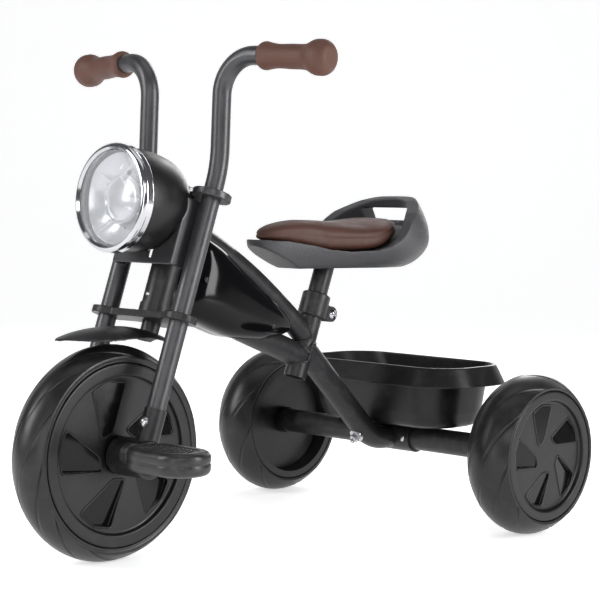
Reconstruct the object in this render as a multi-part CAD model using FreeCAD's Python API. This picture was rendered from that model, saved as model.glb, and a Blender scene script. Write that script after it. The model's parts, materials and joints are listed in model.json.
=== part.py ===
import FreeCAD, Part
import math
import os

# Children's tricycle, millimetres. +X points the way it rides, +Z up, and the
# rider's left is +Y. The origin is on the ground under the middle of its box.

# ---- wheels and stance ----
FRONT_RADIUS = 125.0
REAR_RADIUS = 101.0
WHEELBASE = 500.0
TRACK = 451.0
REAR_X = (REAR_RADIUS - FRONT_RADIUS - WHEELBASE) / 2
FRONT_X = REAR_X + WHEELBASE
AXLE_ROD_RADIUS = 5.0
RUNNING_GAP = 0.06
FACE_GAP = 0.5
WHEEL_POCKETS = 5

# Front wheel section, measured out from its middle plane
FRONT_WHEEL = dict(crown=FRONT_RADIUS, shoulder=(120.4, 17.0), bead=(113.3, 27.5), wall=(106.0, 27.2),
                   flange=(105.5, 24.4, 27.3), barrel=98.0, recess=90.0, face=22.0, web=11.0, hub=16.0)
REAR_WHEEL = dict(crown=REAR_RADIUS, shoulder=(93.7, 20.0), bead=(84.5, 32.2), wall=(82.2, 31.6),
                  flange=(81.6, 28.3, 31.2), barrel=74.0, recess=68.0, face=25.5, web=10.0, hub=13.0)
REAR_INNER_FACE = 11.0
REAR_HUB_BOSS = 18.0
REAR_BOSS_FACE = 19.5

# ---- steering head ----
RAKE = 18.9
HEAD_SET_BACK = 15.0
FORK_SPREAD = 63.5
FORK_TUBE_RADIUS = 11.15
FORK_TUBE_WALL = 1.5
HEAD_TUBE_RADIUS = 17.5
HEAD_TUBE_BORE = 15.5
STEERER_RADIUS = 11.0
CUP_RADIUS = 19.0
LOWER_PLATE = (160.5, 169.0)
UPPER_PLATE = (308.5, 317.0)
HEAD_TUBE_SPAN = (181.0, 296.5)
CUP_SPIGOT = 8.0
STEERER_FOOT = 148.0
FENDER_THICKNESS = 2.2
PLATE_BACK = 19.0
LOWER_LOBE = 20.0
UPPER_LOBE = 23.0

# ---- handlebar, as the upper run of each fork tube ----
BEND_HEIGHT = 455.0
BEND_LEAN = 2.0
BAR_HEIGHT = 583.5
BAR_SWEEP = 7.3
BAR_DROOP = 3.3
LOWER_BEND_RADIUS = 150.0
UPPER_BEND_RADIUS = 44.0
GRIP_START = 57.2
GRIP_LENGTH = 98.0
GRIP_TUBE_DEPTH = 85.0

# ---- fork ends, cranks and pedals ----
FORK_END_RADIUS = 22.0
FORK_END_SPAN = (23.0, 78.0)
SOCKET_RADIUS = 12.8
SOCKET_TOP = 58.0
TUBE_FOOT = 25.0
CAP_SCREW_HEIGHT = 40.0
CRANK_LENGTH = 38.0
CRANK_REST_ANGLE = 18.0
CRANK_SPAN = (80.0, 92.0)
CRANK_HUB = 16.5
CRANK_EYE = 12.5
PEDAL_SPAN = (96.0, 200.0)
PEDAL_HALF_WIDTH = 33.0
PEDAL_THICKNESS = 26.0
SPINDLE_END = 188.0

# ---- frame ----
SEAT_TUBE_RADIUS = 14.3
SEAT_TUBE_BORE = 12.78
SEAT_POST_RADIUS = 12.7
SEAT_LEAN = 20.6
SEAT_TUBE_FOOT = (REAR_X + 195.5, 192.0)
SEAT_TUBE_LENGTH = 106.0
TOP_TUBE_RADIUS = 14.0
DOWN_TUBE_RADIUS = 15.5
MAIN_TUBE_RADIUS = 15.5
MAIN_TUBE_SLOPE = 44.5
MAIN_TUBE_BEND = 61.0
TUBE_WALL = 1.6
AXLE_TUBE_RADIUS = 16.0
AXLE_TUBE_HALF = 198.0
SLEEVE_RADIUS = 19.2
SLEEVE_HALF = 37.0
AXLE_ROD_HALF = 240.0

# ---- tank, basket, lamp and seat ----
TANK_WALL = 3.2
BASKET_CENTRE = REAR_X - 6.0
BASKET_RIM = (202.0, 66.5, 133.5, 49.0)
BASKET_SKIRT = (178.0, 81.0, 148.5, 64.0)
BASKET_FOOT = [(0, 46.0, 102.0, 36.0), (1.5, 51.0, 107.0, 40.5), (4, 55.0, 110.5, 43.5),
               (8, 57.5, 112.5, 45.0), (20, 61.5, 115.5, 46.5)]
BASKET_FLOOR = 121.0
BASKET_WALL = 2.8
FLUSH_HEAD = 1.5
LAMP_CENTRE = (REAR_X + 498.0, 417.5)
LAMP_TILT = 5.0
BEZEL_RADIUS = 63.0
LENS_RADIUS = 55.5
SEAT_BASE = 330.0
SEAT_POST_FOOT = 34.0

Y_AXIS = FreeCAD.Vector(0, 1, 0)
Z_AXIS = FreeCAD.Vector(0, 0, 1)
FRONT_AXLE = FreeCAD.Vector(FRONT_X, 0, FRONT_RADIUS)


def vec(x, y, z):
    return FreeCAD.Vector(x, y, z)


def sine(degrees):
    return math.sin(math.radians(degrees))


def cosine(degrees):
    return math.cos(math.radians(degrees))


# The head's own axes: x forward across the fork, z up along the fork, from the front axle.
HEAD = FreeCAD.Placement(FRONT_AXLE, FreeCAD.Rotation(Y_AXIS, -RAKE))


def in_head(forward, side, up):
    return HEAD.multVec(vec(forward, side, up))


def placed(shape, placement):
    return shape.transformed(placement.toMatrix())


def rod(start, end, radius):
    along = end - start
    return Part.makeCylinder(radius, along.Length, start, along)


def pipe(start, end, radius, bore):
    return rod(start, end, radius).cut(rod(start, end, bore))


def block(low, high):
    size = high - low
    return Part.makeBox(size.x, size.y, size.z, low)


def save(name, shape):
    shape.exportStep("parts/%s.step" % name)


def save_group(name, shapes):
    save(name, Part.makeCompound(shapes))


def mirrored(shape):
    return shape.mirror(vec(0, 0, 0), Y_AXIS)


def save_pair(name, left):
    save(name + "_left", left)
    save(name + "_right", mirrored(left))


def line(start, end):
    return Part.LineSegment(start, end).toShape()


def arc(start, middle, end):
    return Part.Arc(start, middle, end).toShape()


def dome_arc(rim_radius, rim_height, crown_height):
    """An arc from a rim to the crown on the turning axis, centred on that axis."""
    rise = crown_height - rim_height
    sphere = (rim_radius ** 2 + rise ** 2) / (2 * rise)
    centre = crown_height - sphere
    half = math.asin(min(1.0, rim_radius / abs(sphere))) / 2
    middle = vec(abs(sphere) * math.sin(half), 0, centre + sphere * math.cos(half))
    return arc(vec(rim_radius, 0, rim_height), middle, vec(0, 0, crown_height))


def spline(points):
    curve = Part.BSplineCurve()
    curve.interpolate(points)
    return curve.toShape()


def polygon(points):
    return Part.makePolygon(list(points) + [points[0]])


def turned(edges, origin, direction):
    """A solid of revolution from (radius, 0, along) edges about an axis."""
    face = Part.Face(Part.Wire(edges))
    solid = face.revolve(vec(0, 0, 0), Z_AXIS, 360)
    return placed(solid, FreeCAD.Placement(origin, FreeCAD.Rotation(Z_AXIS, direction)))


def turned_polygon(points, origin, direction):
    corners = [vec(radius, 0, along) for radius, along in points]
    return turned(polygon(corners).Edges, origin, direction)


def bent_path(points, radii):
    """Straight runs through points, joined by tangent arcs at the inner ones."""
    edges = []
    here = points[0]
    for index, radius in enumerate(radii):
        corner = points[index + 1]
        back = (points[index] - corner).normalize()
        ahead = (points[index + 2] - corner).normalize()
        half_turn = (math.pi - back.getAngle(ahead)) / 2
        reach = radius * math.tan(half_turn)
        start = corner + back * reach
        end = corner + ahead * reach
        bisector = (back + ahead).normalize()
        middle = corner + bisector * (radius / math.cos(half_turn) - radius)
        edges.append(line(here, start))
        edges.append(arc(start, middle, end))
        here = end
    edges.append(line(here, points[-1]))
    return Part.Wire(edges)


def swept(path, radius):
    start = path.Edges[0].valueAt(path.Edges[0].FirstParameter)
    heading = path.Edges[0].tangentAt(path.Edges[0].FirstParameter)
    ring = Part.Wire(Part.makeCircle(radius, start, heading))
    return path.makePipeShell([ring], True, True)


def rounded_rectangle(centre_x, half_x, half_y, corner, z):
    turn = corner * (1 - cosine(45))
    x, y = half_x, half_y
    corners = []
    for side_x, side_y in ((1, 1), (-1, 1), (-1, -1), (1, -1)):
        first = vec(centre_x + side_x * x, side_y * (y - corner), z)
        second = vec(centre_x + side_x * (x - corner), side_y * y, z)
        middle = vec(centre_x + side_x * (x - turn), side_y * (y - turn), z)
        corners.append((first, middle, second) if side_x == side_y else (second, middle, first))
    edges = []
    for index, (first, middle, second) in enumerate(corners):
        edges.append(arc(first, middle, second))
        edges.append(line(second, corners[(index + 1) % 4][0]))
    return Part.Wire(edges)


def stadium(half_long, half_wide, z):
    """Outline with round ends, long along Y."""
    reach = half_long - half_wide
    edges = [
        line(vec(half_wide, -reach, z), vec(half_wide, reach, z)),
        arc(vec(half_wide, reach, z), vec(0, half_long, z), vec(-half_wide, reach, z)),
        line(vec(-half_wide, reach, z), vec(-half_wide, -reach, z)),
        arc(vec(-half_wide, -reach, z), vec(0, -half_long, z), vec(half_wide, -reach, z)),
    ]
    return Part.Wire(edges)


def dome_screw(seat, direction, head_radius, head_height, shank_radius, shank_length):
    """A domed screw: its head stands on seat, its shank runs back from it."""
    crown = [
        line(vec(0, 0, -shank_length), vec(shank_radius, 0, -shank_length)),
        line(vec(shank_radius, 0, -shank_length), vec(shank_radius, 0, 0)),
        line(vec(shank_radius, 0, 0), vec(head_radius, 0, 0)),
        dome_arc(head_radius, 0, head_height),
        line(vec(0, 0, head_height), vec(0, 0, -shank_length)),
    ]
    return turned(crown, seat, direction)


def flush_screw(seat, direction, head_radius, shank_radius, shank_length):
    """A flat-headed screw: its head lies just under seat, its shank runs back from it."""
    return turned_polygon([(0, -shank_length), (shank_radius, -shank_length), (shank_radius, -FLUSH_HEAD),
                           (head_radius, -FLUSH_HEAD), (head_radius, -0.1), (0, -0.1)], seat, direction)


def hex_nut(start, end, across, bore):
    along = end - start
    circle = across / 2 / cosine(30)
    corners = [vec(circle * cosine(60 * i), circle * sine(60 * i), 0) for i in range(6)]
    solid = Part.Face(polygon(corners)).extrude(vec(0, 0, along.Length))
    solid = placed(solid, FreeCAD.Placement(start, FreeCAD.Rotation(Z_AXIS, along)))
    return solid.cut(rod(start, end, bore)) if bore else solid


# ---------------------------------------------------------------- wheels
def tyre(section, centre):
    crown, (shoulder_r, shoulder_y) = section["crown"], section["shoulder"]
    bead_r, bead_y = section["bead"]
    wall_r, wall_y = section["wall"]
    flange_r, groove_y, _ = section["flange"]
    bore = section["barrel"] + 0.05
    groove_r = flange_r + 0.1
    groove_y -= 0.05
    tread = [vec(bead_r, 0, bead_y), vec(shoulder_r, 0, shoulder_y), vec(crown, 0, 0),
             vec(shoulder_r, 0, -shoulder_y), vec(bead_r, 0, -bead_y)]
    left = [vec(bore, 0, groove_y), vec(groove_r, 0, groove_y), vec(groove_r, 0, wall_y),
            vec(wall_r + 0.4, 0, wall_y), vec(bead_r, 0, bead_y)]
    right = [vec(p.x, 0, -p.z) for p in reversed(left)]
    edges = [line(a, b) for a, b in zip(left, left[1:])]
    edges.append(spline(tread))
    edges += [line(a, b) for a, b in zip(right, right[1:])]
    edges.append(line(right[-1], left[0]))
    return turned(edges, centre, Y_AXIS)


def pocket(section, centre, side):
    """One turbine-blade recess, flush along one long side and deepest along the other."""
    outer = section["recess"] * 0.93
    inner = section["recess"] * 0.31
    flush_out, flush_in = (outer, 97.0), (inner, 72.0)
    deep_out, deep_in = (outer, 62.0), (inner * 1.08, 37.0)
    face = side * section["face"]

    def point(polar, depth):
        return centre + vec(polar[0] * cosine(polar[1]), face - side * depth, polar[0] * sine(polar[1]))

    edge_start, edge_end = point(flush_out, 0), point(flush_in, 0)
    edge = (edge_end - edge_start).normalize()

    def ramp(polar):
        offset = point(polar, 0) - edge_start
        return 0.155 * (offset - edge * offset.dot(edge)).Length

    crest = point((outer * 1.035, 79.5), 0)
    crest_deep = point((outer * 1.035, 79.5), ramp((outer * 1.035, 79.5)))
    deep_out_low = point(deep_out, ramp(deep_out))
    deep_in_low = point(deep_in, ramp(deep_in))
    deep_out_top, deep_in_top = point(deep_out, 0), point(deep_in, 0)
    faces = [
        [edge_start, crest, deep_out_top, deep_in_top, edge_end],
        [edge_start, crest_deep, deep_out_low, deep_in_low, edge_end],
        [edge_start, crest, crest_deep],
        [crest, deep_out_top, deep_out_low, crest_deep],
        [deep_out_top, deep_in_top, deep_in_low, deep_out_low],
        [edge_end, deep_in_top, deep_in_low],
    ]
    shell = Part.Shell([Part.Face(polygon(corners)) for corners in faces])
    return Part.Solid(shell)


def rim_half(section, centre, side, bore, blind=False):
    """Half a wheel centre with its flange, recessed face, pockets and hub."""
    flange_r, flange_in, flange_out = section["flange"]
    face, web, hub, recess, barrel = (section[k] for k in ("face", "web", "hub", "recess", "barrel"))
    middle = 0.1
    points = [(bore, middle), (hub, middle), (hub, face - web), (recess - 4, face - web),
              (barrel - 5, middle), (barrel, middle), (barrel, flange_in), (flange_r, flange_in),
              (flange_r, flange_out - 0.8), (flange_r - 1, flange_out), (recess + 1.5, flange_out),
              (recess, face), (bore, face)]
    solid = turned_polygon(points, centre, vec(0, side, 0))
    if blind:
        cap = rod(centre + vec(0, side * (face - web), 0), centre + vec(0, side * face, 0), bore)
        solid = solid.fuse(cap)
    cutters = []
    for index in range(WHEEL_POCKETS):
        cutter = pocket(section, centre, side)
        cutter.rotate(centre, Y_AXIS, index * 360.0 / WHEEL_POCKETS)
        cutters.append(cutter)
    return solid.cut(Part.makeCompound(cutters)).removeSplitter()


def rear_inner_rim(section, centre, side):
    """The plain inner half of a rear wheel, dished deep, with its bearing hub."""
    flange_r, flange_in, flange_out = section["flange"]
    recess, barrel = section["recess"], section["barrel"]
    bore = AXLE_ROD_RADIUS + RUNNING_GAP
    points = [(bore, -4.0), (8.8, -4.0), (8.8, 0.0), (13.0, 0.0), (13.0, 6.0), (recess - 1, 6.0),
              (barrel - 5, 0.1), (barrel, 0.1),
              (barrel, flange_in), (flange_r, flange_in), (flange_r, flange_out - 0.8),
              (flange_r - 1, flange_out), (recess + 4, flange_out), (recess + 1, REAR_INNER_FACE),
              (REAR_HUB_BOSS, REAR_INNER_FACE), (REAR_HUB_BOSS, REAR_BOSS_FACE), (bore, REAR_BOSS_FACE)]
    return turned_polygon(points, centre, vec(0, -side, 0))


def build_front_wheel():
    save("front_tyre", tyre(FRONT_WHEEL, FRONT_AXLE))
    bore = AXLE_ROD_RADIUS + 0.02
    save("front_rim_left", rim_half(FRONT_WHEEL, FRONT_AXLE, 1, bore))
    save("front_rim_right", rim_half(FRONT_WHEEL, FRONT_AXLE, -1, bore))
    reach = CRANK_SPAN[1]
    save("front_axle", rod(FRONT_AXLE - Y_AXIS * reach, FRONT_AXLE + Y_AXIS * reach, AXLE_ROD_RADIUS))


def build_rear_wheels():
    for name, side in (("left", 1), ("right", -1)):
        centre = vec(REAR_X, side * TRACK / 2, REAR_RADIUS)
        save("rear_tyre_" + name, tyre(REAR_WHEEL, centre))
        save("rear_rim_outer_" + name, rim_half(REAR_WHEEL, centre, side, 9.0, blind=True))
        save("rear_rim_inner_" + name, rear_inner_rim(REAR_WHEEL, centre, side))


# ---------------------------------------------------------------- cranks and pedals
def crank(side):
    """Crank arm with its pedal spindle; the two sides point opposite ways."""
    inner, outer = side * CRANK_SPAN[0], side * CRANK_SPAN[1]
    eye = spindle_place(side)
    hub = FRONT_AXLE + vec(0, inner, 0)
    tip = vec(eye.x, inner, eye.z)
    width = vec(0, outer - inner, 0)
    arm = rod(hub, hub + width, CRANK_HUB).fuse(rod(tip, tip + width, CRANK_EYE))
    along = (tip - hub).normalize()
    across = along.cross(Y_AXIS)
    corners = [hub + across * CRANK_HUB * 0.85, tip + across * CRANK_EYE * 0.9,
               tip - across * CRANK_EYE * 0.9, hub - across * CRANK_HUB * 0.85]
    web = Part.Face(polygon(corners)).extrude(width)
    spindle = rod(vec(eye.x, outer, eye.z), vec(eye.x, side * SPINDLE_END, eye.z), AXLE_ROD_RADIUS)
    solid = arm.fuse([web, spindle])
    return solid.cut(rod(hub, hub + width, AXLE_ROD_RADIUS + 0.02)).removeSplitter()


def spindle_place(side):
    reach = side * CRANK_LENGTH
    return FRONT_AXLE + vec(reach * cosine(CRANK_REST_ANGLE), 0, reach * sine(CRANK_REST_ANGLE))


def pedal(side):
    half_long = (PEDAL_SPAN[1] - PEDAL_SPAN[0]) / 2
    half_high = PEDAL_THICKNESS / 2
    body = Part.Face(stadium(half_long, PEDAL_HALF_WIDTH, -half_high)).extrude(vec(0, 0, PEDAL_THICKNESS))
    rim_edges = [e for e in body.Edges if abs(e.CenterOfMass.z) > half_high - 0.1]
    body = body.makeFillet(7.0, rim_edges)
    tread = Part.Face(stadium(half_long - 13, PEDAL_HALF_WIDTH - 13, half_high - 1.2)).extrude(vec(0, 0, 2))
    body = body.cut(tread).cut(mirror_down(tread))
    groove = Part.Face(stadium(half_long + 1, PEDAL_HALF_WIDTH + 1, -1.5)).extrude(vec(0, 0, 3))
    groove = groove.cut(Part.Face(stadium(half_long - 1, PEDAL_HALF_WIDTH - 1, -1.5)).extrude(vec(0, 0, 3)))
    body = body.cut(groove)
    bore_start = vec(0, -side * half_long, 0)
    bore_end = bore_start + vec(0, side * (SPINDLE_END - PEDAL_SPAN[0] + 2), 0)
    body = body.cut(rod(bore_start, bore_end, AXLE_ROD_RADIUS + RUNNING_GAP))
    eye = spindle_place(side)
    middle = side * sum(PEDAL_SPAN) / 2
    return placed(body, FreeCAD.Placement(vec(eye.x, middle, eye.z), FreeCAD.Rotation()))


def mirror_down(shape):
    return shape.mirror(vec(0, 0, 0), Z_AXIS)


def build_cranks():
    for name, side in (("left", 1), ("right", -1)):
        save("crank_" + name, crank(side))
        save("pedal_" + name, pedal(side))


# ---------------------------------------------------------------- fork and handlebar
def bar_direction():
    return vec(-math.tan(math.radians(BAR_SWEEP)), 1, -math.tan(math.radians(BAR_DROOP))).normalize()


def bar_corner():
    bend = fork_bend()
    rise = BAR_HEIGHT - BEND_HEIGHT
    return bend + vec(-rise * math.tan(math.radians(BEND_LEAN)), 0, rise)


def fork_bend():
    climb = (BEND_HEIGHT - FRONT_RADIUS) / cosine(RAKE)
    return in_head(0, FORK_SPREAD, climb)


def fork_tube():
    """One tube from the fork end up through both plates to the end of its grip."""
    foot = in_head(0, FORK_SPREAD, TUBE_FOOT)
    corner = bar_corner()
    tip = corner + bar_direction() * (GRIP_START + GRIP_TUBE_DEPTH)
    path = bent_path([foot, fork_bend(), corner, tip], [LOWER_BEND_RADIUS, UPPER_BEND_RADIUS])
    return swept(path, FORK_TUBE_RADIUS).cut(swept(path, FORK_TUBE_RADIUS - FORK_TUBE_WALL))


def grip():
    """A soft grip: flared inner collar, straight body and a fat rounded end."""
    end = GRIP_LENGTH
    bore = FORK_TUBE_RADIUS + 0.03
    floor = GRIP_TUBE_DEPTH + 0.5
    edges = [
        line(vec(bore, 0, 0), vec(13.0, 0, 0)),
        arc(vec(13.0, 0, 0), vec(15.4, 0, 2.6), vec(16.4, 0, 8)),
        spline([vec(16.4, 0, 8), vec(15.0, 0, 15), vec(13.9, 0, 24), vec(14.3, 0, 42), vec(14.3, 0, 58),
                vec(15.6, 0, 67), vec(19.2, 0, 75), vec(20.4, 0, 83)]),
        arc(vec(20.4, 0, 83), vec(18.6, 0, 92), vec(10.5, 0, end)),
        line(vec(10.5, 0, end), vec(0, 0, end)),
        line(vec(0, 0, end), vec(0, 0, floor)),
        line(vec(0, 0, floor), vec(bore, 0, floor)),
        line(vec(bore, 0, floor), vec(bore, 0, 0)),
    ]
    return turned(edges, bar_corner() + bar_direction() * GRIP_START, bar_direction())


def clamp_plate(span, lobe, front_bulge, front_waist):
    """A fork plate: round lobes round the tubes, a narrower web and a boss round the steerer."""
    low, high = span
    parts = [Part.makeCylinder(lobe, high - low, vec(0, side * FORK_SPREAD, low)) for side in (1, -1)]
    parts.append(Part.makeCylinder(front_bulge, high - low, vec(-HEAD_SET_BACK, 0, low)))
    parts.append(block(vec(-PLATE_BACK, -FORK_SPREAD, low), vec(front_waist, FORK_SPREAD, high)))
    plate = parts[0].fuse(parts[1:]).removeSplitter()
    tall = [e for e in plate.Edges if e.Length > high - low - 0.01]
    upright = [e for e in tall if abs(e.tangentAt(e.FirstParameter).z) > 0.99]
    seams = [e for e in upright if min(abs(e.CenterOfMass.x - x) for x in (front_waist, -PLATE_BACK)) < 0.5]
    if seams:
        plate = plate.makeFillet(6.0, seams)
    holes = [Part.makeCylinder(FORK_TUBE_RADIUS + 0.03, high - low, vec(0, side * FORK_SPREAD, low))
             for side in (1, -1)]
    holes.append(Part.makeCylinder(STEERER_RADIUS + 0.03, high - low, vec(-HEAD_SET_BACK, 0, low)))
    plate = plate.cut(holes)
    return placed(plate, HEAD)


def head_rod(low, high, radius):
    return rod(in_head(-HEAD_SET_BACK, 0, low), in_head(-HEAD_SET_BACK, 0, high), radius)


def head_cup(face, rim, spigot):
    """A bearing cup: its lip between face and rim, its spigot in the head tube."""
    lip = head_rod(min(face, rim), max(face, rim), CUP_RADIUS)
    plug = head_rod(min(rim, spigot), max(rim, spigot), HEAD_TUBE_BORE - 0.02)
    bore = head_rod(min(face, spigot), max(face, spigot), STEERER_RADIUS + RUNNING_GAP)
    return lip.fuse(plug).cut(bore).removeSplitter()


def fork_end():
    """Axle housing at a fork end, with the socket that takes the tube."""
    inner, outer = (FRONT_AXLE + Y_AXIS * reach for reach in FORK_END_SPAN)
    barrel = rod(inner, outer, FORK_END_RADIUS)
    inner_edge = [e for e in barrel.Edges if len(e.Vertexes) == 1]
    barrel = barrel.makeFillet(3.0, inner_edge)
    socket = rod(in_head(0, FORK_SPREAD, 0), in_head(0, FORK_SPREAD, SOCKET_TOP), SOCKET_RADIUS)
    tube_foot, tube_end = in_head(0, FORK_SPREAD, TUBE_FOOT), in_head(0, FORK_SPREAD, SOCKET_TOP)
    seat = rod(tube_foot, tube_end, FORK_TUBE_RADIUS + 0.03)
    shaft = rod(FRONT_AXLE, outer, AXLE_ROD_RADIUS + RUNNING_GAP)
    solid = barrel.fuse(socket).cut([seat, shaft])
    return solid.cut(cap_screw(FORK_SPREAD)).removeSplitter()


def cap_screw(side_y):
    seat = in_head(SOCKET_RADIUS - 0.4, side_y, CAP_SCREW_HEIGHT)
    ahead = in_head(1, 0, 0) - in_head(0, 0, 0)
    return dome_screw(seat, ahead, 6.6, 4.6, 2.5, 2 * SOCKET_RADIUS - 3)


def build_fork():
    screws = [cap_screw(side * FORK_SPREAD) for side in (1, -1)]
    tube = fork_tube().cut(screws[0])
    save_pair("fork_tube", tube)
    save_pair("fork_end", fork_end())
    save_pair("grip", grip())
    save_group("fork_end_screws", screws)
    save("lower_clamp_plate", clamp_plate(LOWER_PLATE, LOWER_LOBE, 25.0, 11.0))
    save("upper_clamp_plate", clamp_plate(UPPER_PLATE, UPPER_LOBE, 18.0, 2.5))
    save("steerer", head_rod(STEERER_FOOT, UPPER_PLATE[1] + 10, STEERER_RADIUS).cut(fender_bolt()))
    nut_foot = in_head(-HEAD_SET_BACK, 0, UPPER_PLATE[1])
    nut_top = in_head(-HEAD_SET_BACK, 0, UPPER_PLATE[1] + 8)
    nut = hex_nut(nut_foot, nut_top, 30, STEERER_RADIUS + 0.02)
    save("steerer_top_nut", nut)
    save("fender_bolt", fender_bolt())


def fender_bolt():
    foot = in_head(-HEAD_SET_BACK, 0, STEERER_FOOT)
    down = in_head(0, 0, 0) - in_head(0, 0, 1)
    return dome_screw(foot + down * FENDER_THICKNESS, down, 7.0, 3.2, 3.0, 12.0)


# ---------------------------------------------------------------- fender
def fender_section(distance, crown, drop, half_width):
    """Arched strip across the ride direction, 2.2 mm thick."""
    x = REAR_X + distance
    thick = FENDER_THICKNESS
    low = crown - drop
    outer = arc(vec(x, -half_width, low), vec(x, 0, crown), vec(x, half_width, low))
    inner = arc(vec(x, half_width, low - thick), vec(x, 0, crown - thick), vec(x, -half_width, low - thick))
    return Part.Wire([outer, line(vec(x, half_width, low), vec(x, half_width, low - thick)),
                      inner, line(vec(x, -half_width, low - thick), vec(x, -half_width, low))])


def build_fender():
    """Leaf-shaped mudguard: distance from the rear axle, crown height, arch and half width."""
    stations = [(573, 259.5, 0.6, 3.0), (561, 263.0, 3.5, 15.0), (541, 267.4, 9.5, 25.5),
                (518, 270.0, 12.5, 31.0), (492, 270.6, 12.0, 33.0), (465, 268.0, 9.5, 31.0),
                (440, 262.0, 8.0, 27.5), (416, 253.0, 5.0, 21.0)]
    leaf = Part.makeLoft([fender_section(*station) for station in stations], True)
    above = head_rod(STEERER_FOOT, STEERER_FOOT + 20, STEERER_RADIUS + 0.3)
    save("front_fender", leaf.cut([fender_bolt(), above]).removeSplitter())


# ---------------------------------------------------------------- lamp
def lamp_point(behind, side=0.0, rise=0.0):
    x = LAMP_CENTRE[0] - behind * cosine(LAMP_TILT) - rise * sine(LAMP_TILT)
    z = LAMP_CENTRE[1] - behind * sine(LAMP_TILT) + rise * cosine(LAMP_TILT)
    return vec(x, side, z)


LAMP_BACK = vec(-cosine(LAMP_TILT), 0, -sine(LAMP_TILT))


def bucket_solid(grow):
    """The lamp's rounded case as a solid, grown by a margin."""
    profile = [(58.6, 8), (59.8, 26), (58.2, 46), (54.5, 64), (48.5, 78), (40.0, 87.5),
               (28.0, 92.2), (12.0, 93.8)]
    points = [vec(radius + grow, 0, along) for radius, along in profile]
    end = vec(0, 0, 94 + grow)
    edges = [line(vec(0, 0, 8), points[0]), spline(points + [end]), line(end, vec(0, 0, 8))]
    return turned(edges, lamp_point(0), LAMP_BACK)


def upper_lobes(margin):
    """The upper plate's two round ends, grown by a margin, which the lamp's case clears."""
    low, high = UPPER_PLATE
    return [rod(in_head(0, side * FORK_SPREAD, low - margin), in_head(0, side * FORK_SPREAD, high + margin),
                UPPER_LOBE + margin) for side in (1, -1)]


def build_lamp():
    wall = 2.5
    outside = bucket_solid(0).cut([head_rod(150, 312, CUP_RADIUS + 1.5)] + upper_lobes(0.4))
    inside = bucket_solid(-wall).cut([head_rod(150, 316, CUP_RADIUS + 1.5 + wall)] + upper_lobes(0.4 + wall))
    bucket = outside.cut([inside, rod(lamp_point(7), lamp_point(10.5), 56.1)])
    save("lamp_bucket", bucket)
    bezel = turned(
        [line(vec(LENS_RADIUS + 0.1, 0, 1.0), vec(58.0, 0, -2.0)),
         arc(vec(58.0, 0, -2.0), vec(62.2, 0, 0.5), vec(BEZEL_RADIUS, 0, 5.5)),
         line(vec(BEZEL_RADIUS, 0, 5.5), vec(BEZEL_RADIUS, 0, 11.0)),
         arc(vec(BEZEL_RADIUS, 0, 11.0), vec(62.3, 0, 13.2), vec(60.6, 0, 13.8)),
         line(vec(60.6, 0, 13.8), vec(60.2, 0, 7.8)),
         line(vec(60.2, 0, 7.8), vec(LENS_RADIUS + 0.1, 0, 7.8)),
         line(vec(LENS_RADIUS + 0.1, 0, 7.8), vec(LENS_RADIUS + 0.1, 0, 1.0))],
        lamp_point(0), LAMP_BACK)
    save("lamp_bezel", bezel)
    lens = turned(
        [dome_arc(LENS_RADIUS, 2.2, -3.5),
         line(vec(LENS_RADIUS, 0, 2.2), vec(LENS_RADIUS, 0, 5.0)),
         dome_arc(LENS_RADIUS, 5.0, -0.7),
         line(vec(0, 0, -0.7), vec(0, 0, -3.5))],
        lamp_point(0), LAMP_BACK)
    save("lamp_lens", lens)
    bowl = turned(
        [line(vec(55.2, 0, 8.0), vec(55.2, 0, 10.4)),
         arc(vec(55.2, 0, 10.4), vec(42, 0, 32), vec(14, 0, 44)),
         line(vec(14, 0, 44), vec(14, 0, 42.2)),
         arc(vec(14, 0, 42.2), vec(40.6, 0, 30.6), vec(53.0, 0, 8.0)),
         line(vec(53.0, 0, 8.0), vec(55.2, 0, 8.0))],
        lamp_point(0), LAMP_BACK)
    save("lamp_reflector", bowl)
    bulb = turned(
        [line(vec(0, 0, 46), vec(13.9, 0, 46)), line(vec(13.9, 0, 46), vec(13.9, 0, 30)),
         dome_arc(13.9, 30, 17), line(vec(0, 0, 17), vec(0, 0, 46))],
        lamp_point(0), LAMP_BACK)
    save("lamp_bulb", bulb)


def build_lamp_bracket():
    """A folded bracket across both fork tubes that cradles the lamp from behind and below."""
    web = block(vec(21.5, -52.0, 221.5), vec(24.5, 52.0, 262.0))
    near = block(vec(4.0, 49.0, 221.5), vec(24.5, 52.0, 303.0))
    shell = web.fuse([near, mirrored(near)]).removeSplitter()
    slot = block(vec(20.0, 9.0, 228.5), vec(26.0, 15.0, 243.0))
    shell = placed(shell.cut(slot), HEAD)
    tubes = []
    for y in (FORK_SPREAD, -FORK_SPREAD):
        tubes.append(rod(in_head(0, y, 200), in_head(0, y, 320), FORK_TUBE_RADIUS + 0.05))
    bracket = shell.cut([bucket_solid(0.15)] + tubes)
    keep = [s for s in bracket.Solids if s.Volume > 500]
    bracket = keep[0].fuse(keep[1:]) if len(keep) > 1 else keep[0]
    save("lamp_bracket", bracket)


# ---------------------------------------------------------------- frame
SEAT_UP = vec(-sine(SEAT_LEAN), 0, cosine(SEAT_LEAN))
SEAT_FOOT = vec(SEAT_TUBE_FOOT[0], 0, SEAT_TUBE_FOOT[1])


def on_seat_tube(along):
    return SEAT_FOOT + SEAT_UP * along


def main_tube_path():
    join = vec(REAR_X + 184, 0, 232)
    level = REAR_RADIUS
    corner = vec(join.x - (join.z - level) / math.tan(math.radians(MAIN_TUBE_SLOPE)), 0, level)
    return bent_path([join, corner, vec(REAR_X + 12, 0, level)], [MAIN_TUBE_BEND])


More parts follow.
